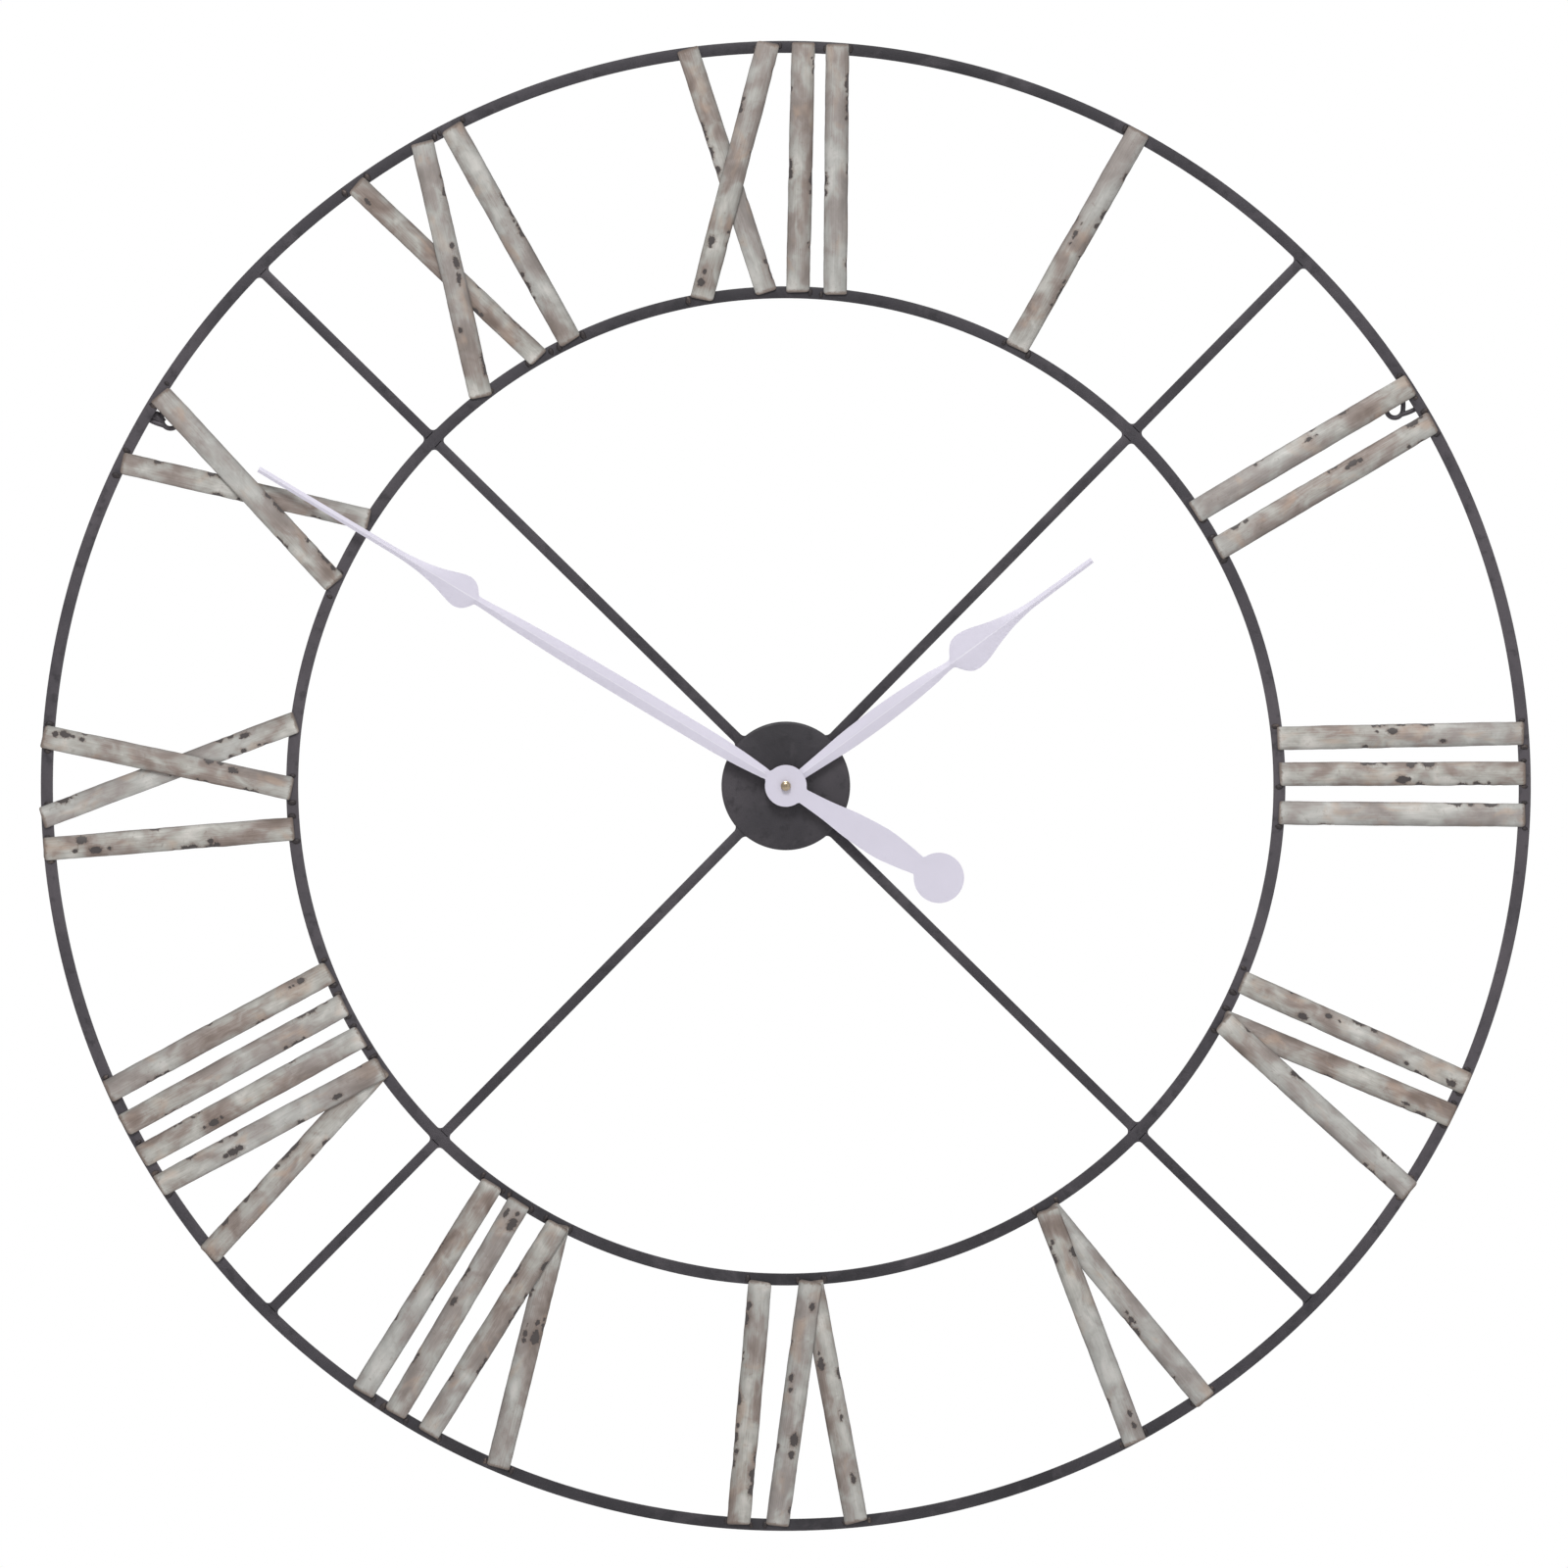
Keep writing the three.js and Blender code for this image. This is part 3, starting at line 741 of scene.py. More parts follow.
class CLOCK_OT_rings(bpy.types.Operator):
    """Rolls the outer and the inner iron ring"""

    bl_idname = "wall_clock.rings"
    bl_label = "Rings"

    def execute(self, context):
        half = sizes().ring_width / 2
        for name, node, radius in (
            ("outer_ring_bar", "outer_ring", OUTER_RADIUS - half),
            ("inner_ring_bar", "inner_ring", INNER_OUTSIDE - half),
        ):
            finish_piece(ring_piece(name, radius), "frame", "iron", node)
        return {"FINISHED"}


class CLOCK_OT_spokes(bpy.types.Operator):
    """Lays the four spokes and grinds the welds in their corners"""

    bl_idname = "wall_clock.spokes"
    bl_label = "Spokes and welds"

    def execute(self, context):
        s = sizes()
        inner_in = INNER_OUTSIDE - s.ring_width
        outer_in = OUTER_RADIUS - s.ring_width
        for place, degrees in SPOKES.items():
            angle = math.radians(degrees)
            spoke = spoke_piece(f"spoke_bar_{place}", angle)
            finish_piece(spoke, "frame", "iron", f"spoke_{place}")
            outward = on_face(angle, 1)
            across = on_face(angle + math.pi / 2, 1)
            fillets = []
            for side in (-1, 1):
                beside = across * (side * s.spoke_width / 2)
                for radius, facing in (
                    (HUB_RADIUS - 1 * MM, 1), (inner_in, -1), (INNER_OUTSIDE, 1), (outer_in, -1),
                ):
                    flat = math.sqrt(radius ** 2 - (s.spoke_width / 2) ** 2)
                    corner = outward * flat + beside
                    reach = s.weld_fillet if radius > HUB_RADIUS else s.weld_fillet * 1.25
                    fillets.append(weld_fillet(
                        "fillet", corner, outward * facing, across * side, reach, 0.05 * MM,
                    ))
            weld = joined(f"spoke_welds_{place}", fillets)
            finish_piece(weld, "frame", "iron")
        return {"FINISHED"}


class CLOCK_OT_hub(bpy.types.Operator):
    """Turns the hub disc with its turned-back rim, the rubber washer and the bushing nut"""

    bl_idname = "wall_clock.hub"
    bl_label = "Hub disc"

    def execute(self, context):
        bore = 4.3 * MM
        wall = 1.5 * MM
        back = HUB_FRONT - wall
        profile = [
            (bore, back), (HUB_RADIUS * 0.5, back), (HUB_RADIUS - wall - 0.9 * MM, back),
            (HUB_RADIUS - wall - 0.3 * MM, back - 0.25 * MM), (HUB_RADIUS - wall, back - 0.9 * MM),
            (HUB_RADIUS - wall, HUB_RIM_BACK + 0.2 * MM), (HUB_RADIUS - wall + 0.3 * MM, HUB_RIM_BACK),
            (HUB_RADIUS - 0.3 * MM, HUB_RIM_BACK), (HUB_RADIUS, HUB_RIM_BACK + 0.3 * MM),
            (HUB_RADIUS, HUB_FRONT - 1.5 * MM), (HUB_RADIUS - 0.25 * MM, HUB_FRONT - 0.8 * MM),
            (HUB_RADIUS - 0.9 * MM, HUB_FRONT - 0.25 * MM), (HUB_RADIUS - 1.8 * MM, HUB_FRONT),
            (HUB_RADIUS * 0.5, HUB_FRONT), (bore, HUB_FRONT), (bore, back),
        ]
        disc = turned("hub_disc_sheet", profile, 144)
        finish_piece(disc, "frame", "iron", "hub_disc")

        low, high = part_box("rubber_washer")
        washer_back, washer_front, outside = -high.y, -low.y, high.x
        inside, edge = bore + 0.3 * MM, 0.25 * MM
        washer = turned("rubber_washer_ring", [
            (inside, washer_back), (outside - edge, washer_back), (outside, washer_back + edge),
            (outside, washer_front - edge), (outside - edge, washer_front),
            (inside, washer_front), (inside, washer_back),
        ], 64)
        finish_piece(washer, "frame", "rubber", "rubber_washer")

        nut = refined("bushing_hex_nut", "bushing_nut", 0.25 * MM, 2)
        finish_piece(nut, "frame", "brass", "bushing_nut")
        return {"FINISHED"}


# --- Numeral strips ------------------------------------------------------------------------------

# Every stroke of each numeral, from left to right when its head is up: how it is laid, and how far
# its middle stands clockwise of the hour line, in millimetres along the inner and the outer ring.
NUMERALS = {
    "I": [("bar", -10, -10)],
    "II": [("bar", -19, -19), ("bar", 10, 10)],
    "III": [("bar", -29, -31), ("bar", -5, -4), ("bar", 21, 24)],
    "IV": [("bar", -36, -51), ("leg_under", -7, -27), ("leg_over", -7, 30)],
    "V": [("leg_under", -7, -33), ("leg_over", -7, 21)],
    "VI": [("leg_under", -14, -43), ("leg_over", -14, 10), ("bar", 20, 36)],
    "VII": [("leg_under", -12, -57), ("leg_over", -12, -5), ("bar", 18, 21), ("bar", 40, 47)],
    "VIII": [
        ("leg_under", -25, -74), ("leg_over", -25, -18), ("bar", 0, 5), ("bar", 24, 29), ("bar", 48, 54),
    ],
    "IX": [("bar", -26, -38), ("over", 1, 37), ("under", 46, -16)],
    "X": [("over", -31, 22), ("under", 18, -31)],
    "XI": [("over", -44, 9), ("under", 3, -44), ("bar", 27, 31)],
    "XII": [("over", -54, -8), ("under", -10, -61), ("bar", 11, 16), ("bar", 36, 39)],
}


# How far the strips' ends of each numeral sit outwards of the usual overhang, at the inner and at
# the outer ring, in millimetres.
SET_OUT = {
    "I": (2, 2), "II": (0, 1), "III": (1.5, -1), "IV": (3, 2.2), "V": (4, 2), "VI": (3, -1),
    "VII": (1.5, -1), "VIII": (0.5, 2), "IX": (1.5, 2.2), "X": (2, -2), "XI": (1.5, -1.5),
    "XII": (1.5, 1.5),
}


def rise(lay, s):
    """How far a strip's middle stands above its edges, and how far the whole strip is lifted, at s
    from -1 at its foot to 1 at its head."""
    z = sizes()
    flat_ends = 1 - s ** 4
    if lay == "under":
        return 0.25 * z.strip_crown * flat_ends, 0
    if lay == "over":
        return 0.6 * z.strip_crown * flat_ends, z.crossing_bow * (1 - s * s)
    if lay == "leg_under":
        return z.strip_crown * ramp(-0.2, 0.3, s) * flat_ends, 0
    if lay == "leg_over":
        return z.strip_crown * flat_ends, (z.strip_sheet + GAP) * (1 - ramp(-0.1, 0.5, s))
    return z.strip_crown * flat_ends, 0


def chip_marks(chance, half_length, half_width):
    """Chips in the whitewash: (along, across, half length, half width) of each. They lie in
    clusters, most of them on an edge."""
    marks = []
    for _ in range(chance.randint(4, 8)):
        middle_along = chance.uniform(-0.88, 0.88) * half_length
        side = chance.choice((-1, -1, -0.93, 0.93, 1, 1, 1, 0.5, -0.4)) * half_width
        size = chance.uniform(1.8, 4.8) * MM
        marks.append((middle_along, side, size, size * chance.uniform(0.45, 0.75)))
        for _ in range(chance.randint(0, 3)):
            near = size * chance.uniform(0.3, 0.6)
            marks.append((
                middle_along + chance.uniform(-3, 3) * size, side * chance.uniform(0.75, 1.0),
                near, near * chance.uniform(0.6, 0.9),
            ))
    return marks


# What the finish reads off each strip: its chips, the way across it, its two ends and its foot.
STRIP_FIELDS = ("wear", "across", "ends", "foot")
STRIP_COLUMNS = 16
STRIP_ROWS = 150
BURNT_REACH = 3.6 * MM
FOOT_REACH = 10 * MM


def strip_piece(name, lay, start, end, chance):
    """A worn strip of tin from one ring to the other: a fine grid bent to its crown, given the
    sheet's thickness and soft cut edges."""
    s = sizes()
    run = end - start
    half_length = run.length / 2 + s.strip_overhang
    nominal = (s.crossed_width if lay == "under" else s.strip_width) / 2
    along = run.normalized()
    across = Vector((0, 1, 0)).cross(along)
    centre = (start + end) / 2
    base = RING_FRONT + GAP + s.strip_sheet / 2
    fresh()
    bpy.ops.mesh.primitive_grid_add(x_subdivisions=STRIP_COLUMNS, y_subdivisions=STRIP_ROWS, size=2)
    obj = named(name)
    mesh = obj.data
    offset = Vector((chance.uniform(0, 5), chance.uniform(0, 5)))
    seed = Vector((chance.uniform(-50, 50), chance.uniform(-50, 50), 0))
    corners = {(i, j): s.strip_corner * chance.uniform(0.45, 1.35) for i in (-1, 1) for j in (-1, 1)}
    skews = {j: chance.uniform(-1, 1) * 0.5 * MM for j in (-1, 1)}
    marks = chip_marks(chance, half_length, nominal)
    for key in STRIP_FIELDS:
        mesh.attributes.new(key, "FLOAT", "POINT")
    fields = {key: mesh.attributes[key].data for key in STRIP_FIELDS}
    streak = mesh.uv_layers[0]
    streak.name = "Streak"
    flat = []
    for index, vertex in enumerate(mesh.vertices):
        side, t = vertex.co.x, vertex.co.y
        share = 0.25 * t + 0.75 * math.sin(t * math.pi / 2)
        sign_side = 1 if side > 0 else -1
        sign_end = 1 if share > 0 else -1
        y = share * half_length
        wander = noise.noise(Vector((y / (22 * MM), sign_side * 9, 0)) + seed) * s.strip_wander
        wander += noise.noise(Vector((y / (5 * MM), sign_side * 17, 4)) + seed) * s.strip_wander * 0.4
        half_width = nominal - 0.2 * MM + wander
        corner = corners[sign_side, sign_end]
        into = abs(y) - (half_length - corner)
        if into > 0:
            half_width -= corner - math.sqrt(max(corner ** 2 - into ** 2, 0))
        x = side * half_width
        marked = max(
            math.exp(-((y - a) / long) ** 2 - ((x - b) / wide) ** 2) for a, b, long, wide in marks
        )
        if abs(side) > 0.99:
            x -= sign_side * 0.35 * MM * marked
        y += skews[sign_end] * side * ramp(0.9, 1, abs(share))
        crown, lift = rise(lay, share)
        swell = noise.noise(Vector((x / (14 * MM), y / (24 * MM), 8)) + seed) * 0.16 * MM
        swell *= 1 - share ** 8
        depth = base + lift + crown * (1 - side * side) + swell * (0 if lay == "under" else 1)
        vertex.co = centre + along * y + across * x + Vector((0, -depth, 0))
        flat.append((y + offset.x, x + offset.y))
        fields["wear"][index].value = marked
        fields["across"][index].value = (side + 1) / 2
        fields["ends"][index].value = max(0, 1 - (half_length - abs(y)) / BURNT_REACH)
        fields["foot"][index].value = ramp(FOOT_REACH, 0, half_length + y) if y < 0 else 0
    for loop in mesh.loops:
        streak.data[loop.index].uv = flat[loop.vertex_index]
    modify(obj, "SOLIDIFY", thickness=s.strip_sheet, offset=0)
    clean(obj, merge=1e-6)
    round_edges(obj, 0.22 * MM, 2, angle=50)
    return obj


class CLOCK_OT_numerals(bpy.types.Operator):
    """Cuts, bends and wears the tin strips of the twelve numerals"""

    bl_idname = "wall_clock.numerals"
    bl_label = "Numeral strips"

    def execute(self, context):
        s = sizes()
        inner = INNER_OUTSIDE - s.ring_width / 2
        outer = OUTER_RADIUS - s.ring_width / 2
        for hour, (numeral, strokes) in enumerate(NUMERALS.items(), 1):
            inner_set_out, outer_set_out = SET_OUT[numeral]
            line = math.radians(30 * hour)
            for count, (lay, foot, head) in enumerate(strokes, 1):
                chance = random.Random(s.strip_seed * 1000 + hour * 10 + count)
                start = on_face(line + foot * MM / inner, inner)
                end = on_face(line + head * MM / outer, outer)
                along = (end - start).normalized()
                start += along * inner_set_out * MM
                end += along * outer_set_out * MM
                strip = strip_piece(f"numeral_{numeral}_strip_{count}", lay, start, end, chance)
                finish_piece(strip, "frame", "tin", f"strip_{numeral}_{count}", angle=40)
        return {"FINISHED"}


BARE_ENDS = 0.22
BEAD_WIDTH = 0.62
BEAD_HEIGHT = 0.42


def weld_bead(place, along, half_size, chance):
    """A small lump of weld metal on a ring's face."""
    fresh()
    bpy.ops.mesh.primitive_ico_sphere_add(subdivisions=2, radius=1)
    obj = named("bead")
    across = along.cross(Vector((0, 1, 0)))
    seed = Vector((chance.uniform(-40, 40), chance.uniform(-40, 40), 0))
    for vertex in obj.data.vertices:
        lump = 1 + 0.28 * noise.noise(vertex.co * 1.3 + seed)
        x, y, z = vertex.co * lump
        vertex.co = place + along * x * half_size + across * y * half_size * BEAD_WIDTH
        vertex.co.y -= max(z, -0.2) * half_size * BEAD_HEIGHT
    return obj


class CLOCK_OT_beads(bpy.types.Operator):
    """Drops the small weld beads beside the strips' ends"""

    bl_idname = "wall_clock.beads"
    bl_label = "Weld beads"

    def execute(self, context):
        s = sizes()
        for ring, radius, column in (
            ("inner", INNER_OUTSIDE - s.ring_width / 2, 1), ("outer", OUTER_RADIUS - s.ring_width / 2, 2),
        ):
            chance = random.Random(s.strip_seed + column)
            beads = []
            for hour, strokes in enumerate(NUMERALS.values(), 1):
                for stroke in strokes:
                    for side in (-1, 1):
                        if chance.random() < BARE_ENDS:
                            continue
                        beside = s.strip_width / 2 + chance.uniform(0.1, 1.4) * MM
                        angle = math.radians(30 * hour) + (stroke[column] * MM + side * beside) / radius
                        inset = chance.uniform(-0.9, 0.9) * MM
                        place = on_face(angle, radius + inset, RING_FRONT)
                        size = chance.uniform(2.0, 3.2) * MM
                        beads.append(weld_bead(place, on_face(angle, 1), size, chance))
            weld = joined(f"strip_welds_{ring}", beads)
            finish_piece(weld, "frame", "weld", angle=60)
        return {"FINISHED"}


# --- Hanging loops -------------------------------------------------------------------------------

# Blobs of weld on each loop's wire: (outwards, up, half size) from the middle of its eye, in mm.
LOOP_WELDS = {
    "right": [(5.4, -6.6, 2.1), (15.6, -2.6, 2.5)],
    "left": [
        (7.6, -2.6, 4.6), (9.2, 0.2, 3.4), (6.8, -5.4, 2.8), (11.5, -1.4, 3.6), (14.5, -2.6, 3.4),
        (-4.3, 10.6, 2.4),
    ],
}


class CLOCK_OT_loops(bpy.types.Operator):
    """Bends the two hanging loops from wire and welds the foot of each to the back of the outer ring"""

    bl_idname = "wall_clock.loops"
    bl_label = "Hanging loops"

    def execute(self, context):
        for place, side in (("right", 1), ("left", -1)):
            node = f"hanging_loop_{place}"
            low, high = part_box(node)
            radius = (high.y - low.y) / 2
            bend = 5.55 * MM
            straight = (high.z - low.z) / 2 - radius - bend
            inner_edge = low.x if side > 0 else high.x
            centre_x = inner_edge + side * (bend + radius)
            centre = Vector((centre_x, (low.y + high.y) / 2, (low.z + high.z) / 2))
            oval = []
            for i in range(24):
                turn = 2 * math.pi * (i + 0.5) / 24
                shift = math.copysign(straight, math.sin(turn))
                oval.append(centre + Vector((bend * math.cos(turn), 0, bend * math.sin(turn) + shift)))
            start = centre + Vector((side * 4.2 * MM, 0, -7.4 * MM))
            end = centre + Vector((side * 16.4 * MM, 0, -2.3 * MM))
            sag = Vector((0, 0, -0.5 * MM))
            pieces = [
                wire("loop", oval, radius, closed=True, resolution=3),
                wire("foot", [start, (start + end) / 2 + sag, end], radius, resolution=8),
            ]
            chance = random.Random(40 + side)
            for across, up, size in LOOP_WELDS[place]:
                spot = centre + Vector((side * across * MM, 0, up * MM))
                pieces.append(weld_bead(spot, (end - start).normalized(), size * MM, chance))
            obj = joined(f"hanging_wire_{place}", pieces)
            finish_piece(obj, "frame", "iron", node, angle=60)
        return {"FINISHED"}


# --- Hands ---------------------------------------------------------------------------------------

# Outlines as (distance from the pivot, half width), in millimetres.
MINUTE_BLADE = [
    (8, 2.6), (40, 5.3), (60, 5.9), (120, 6.1), (165, 5.8), (210, 4.5), (241.5, 2.9), (243, 4.6),
    (244.5, 6.8), (246.5, 8.8), (249, 10.4), (253, 11.3), (256, 11.0), (262, 9.3), (274, 5.8),
    (288, 3.4), (303, 2.3), (412, 1.8),
]
MINUTE_TAIL = [(8, 4.6), (30, 6.4), (55, 9.6), (74, 10.5), (92, 8.6), (106, 6.4), (120, 6.0)]
HOUR_BLADE = [
    (5, 2.6), (30, 4.6), (56, 6.5), (75, 6.8), (90, 6.5), (120, 4.7), (137.5, 2.7), (139.2, 3.6),
    (141, 6.4), (143, 9.1), (145, 11.1), (147.5, 12.7), (152, 13.5), (156, 13.2), (160, 12.4),
    (175, 7.6), (190, 4.0), (206, 2.2), (255, 1.7),
]
MINUTE_ANGLE = 301.5
HOUR_ANGLE = 54.1
MINUTE_HUB = 14 * MM
HOUR_HUB = 10 * MM
MINUTE_BORE = 1.7 * MM
HOUR_BORE = 2.8 * MM
WEIGHT_AT = 119.7 * MM
WEIGHT_RADIUS = 16.9 * MM
FOLD_SLOPE = 0.42


def through(points, at):
    """A smooth curve through (distance, half width) points that never overshoots them, in metres."""
    xs = [p[0] * MM for p in points]
    ys = [p[1] * MM for p in points]
    if at <= xs[0]:
        return ys[0]
    if at >= xs[-1]:
        return ys[-1]
    slopes = [(ys[i + 1] - ys[i]) / (xs[i + 1] - xs[i]) for i in range(len(xs) - 1)]
    tangents = [slopes[0]]
    for before, after in zip(slopes, slopes[1:]):
        tangents.append(0 if before * after <= 0 else 2 * before * after / (before + after))
    tangents.append(slopes[-1])
    i = max(k for k in range(len(xs) - 1) if xs[k] <= at)
    width = xs[i + 1] - xs[i]
    t = (at - xs[i]) / width
    return (
        ys[i] * (2 * t ** 3 - 3 * t * t + 1) + tangents[i] * width * (t ** 3 - 2 * t * t + t)
        + ys[i + 1] * (3 * t * t - 2 * t ** 3) + tangents[i + 1] * width * (t ** 3 - t * t)
    )


def disc_half_width(radius, distance):
    return math.sqrt(max(radius ** 2 - distance ** 2, 0))


def rows_between(low, high, step):
    count = max(1, round((high - low) / step))
    return [low + (high - low) * i / count for i in range(count)]


def hand_sheet(name, rows, half_width, fold, angle, back, bore):
    """A pressed hand: a grid laid along the clock angle, its middle folded up, given thickness,
    bored for its shaft and softened at its edges."""
    s = sizes()
    crease = 0.06
    columns = [-1, -0.72, -0.4, -crease, 0, crease, 0.4, 0.72, 1]
    fresh()
    bpy.ops.mesh.primitive_grid_add(x_subdivisions=len(columns) - 1, y_subdivisions=len(rows) - 1, size=2)
    obj = named(name)
    along = on_face(math.radians(angle), 1)
    across = on_face(math.radians(angle + 90), 1)
    level = back + s.hand_sheet / 2
    ridge = obj.data.attributes.new("ridge", "FLOAT", "POINT").data
    for vertex in obj.data.vertices:
        side = columns[round((vertex.co.x + 1) / 2 * (len(columns) - 1))]
        distance = rows[round((vertex.co.y + 1) / 2 * (len(rows) - 1))]
        width = half_width(distance)
        top = min(FOLD_SLOPE * width, s.fold_limit) * fold(distance)
        height = top * (1 - (abs(side) if side else crease * 0.45))
        # The ridge value marks the fold's top line, where the hands' paint lays its painted highlight.
        ridge[vertex.index].value = fold(distance) if side == 0 else 0
        vertex.co = along * distance + across * side * width + Vector((0, -(level + height), 0))
    clean(obj, merge=1e-6)
    modify(obj, "SOLIDIFY", thickness=s.hand_sheet, offset=0, use_even_offset=True)
    behind, above = back - 1 * MM, back + 4 * MM
    drill = turned("drill", [(0, behind), (bore, behind), (bore, above), (0, above)], 48)
    modify(obj, "BOOLEAN", object=drill, operation="DIFFERENCE", solver="EXACT")
    bpy.data.objects.remove(drill)
    clean(obj, merge=1e-6)
    round_edges(obj, 0.18 * MM, 2, angle=50)
    clean(obj, merge=2e-5)
    return obj


class CLOCK_OT_minute_hand(bpy.types.Operator):
    """Presses the minute hand with its spade and weighted tail, and turns its brass nut"""

    bl_idname = "wall_clock.minute_hand"
    bl_label = "Minute hand"

    def execute(self, context):
        tip = MINUTE_BLADE[-1][0] * MM
        tail_end = -(WEIGHT_AT + WEIGHT_RADIUS)
        round_part = [-WEIGHT_AT - WEIGHT_RADIUS * math.cos(math.radians(a)) for a in range(0, 60, 4)]
        body = rows_between(round_part[-1] + 0.5 * MM, tip, 1.0 * MM)
        rows = sorted([tail_end, *round_part[1:], *body, tip])

        def half_width(distance):
            blade = through(MINUTE_BLADE, distance) if distance >= 0 else 0
            tail = through(MINUTE_TAIL, -distance) if -WEIGHT_AT <= distance < 0 else 0
            weight = disc_half_width(WEIGHT_RADIUS, distance + WEIGHT_AT)
            return max(blade, tail, weight, disc_half_width(MINUTE_HUB, distance), 1e-7)

        def fold(distance):
            return ramp(MINUTE_HUB * 0.98, MINUTE_HUB * 1.25, distance)

        hand = hand_sheet(
            "minute_hand_blade", rows, half_width, fold, MINUTE_ANGLE, MINUTE_BACK, MINUTE_BORE,
        )
        finish_piece(hand, "minute_hand", "hand", "minute_hand", angle=20)

        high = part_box("hand_nut")[1]
        back, radius = -high.y, high.x
        nut = turned("hand_nut_dome", [
            (0, NUT_FRONT - 1.4 * MM), (MINUTE_BORE, NUT_FRONT - 1.4 * MM), (MINUTE_BORE, back),
            (radius - 0.2 * MM, back), (radius, back + 0.2 * MM), (radius, back + 2.0 * MM),
            (radius - 0.2 * MM, back + 2.3 * MM), (radius - 0.55 * MM, back + 2.45 * MM),
            (radius - 0.75 * MM, back + 2.8 * MM), (radius - 1.5 * MM, NUT_FRONT - 0.15 * MM),
            (1.0 * MM, NUT_FRONT), (0.75 * MM, NUT_FRONT - 0.35 * MM), (0, NUT_FRONT - 0.45 * MM),
        ], 48)
        finish_piece(nut, "minute_hand", "brass", "hand_nut")
        return {"FINISHED"}


class CLOCK_OT_hour_hand(bpy.types.Operator):
    """Presses the hour hand with its spade"""

    bl_idname = "wall_clock.hour_hand"
    bl_label = "Hour hand"

    def execute(self, context):
        round_part = [-HOUR_HUB * math.cos(math.radians(a)) for a in range(0, 80, 5)]
        tip = HOUR_BLADE[-1][0] * MM
        rows = sorted([*round_part, *rows_between(-1.5 * MM, tip, 0.8 * MM), tip])

        def half_width(distance):
            blade = through(HOUR_BLADE, distance) if distance >= 0 else 0
            return max(blade, disc_half_width(HOUR_HUB, distance), 1e-7)

        def fold(distance):
            return ramp(HOUR_HUB * 0.98, HOUR_HUB * 1.3, distance)

        hand = hand_sheet("hour_hand_blade", rows, half_width, fold, HOUR_ANGLE, HOUR_BACK, HOUR_BORE)
        finish_piece(hand, "hour_hand", "hand", "hour_hand", angle=20)
        return {"FINISHED"}


# --- Movement ------------------------------------------------------------------------------------

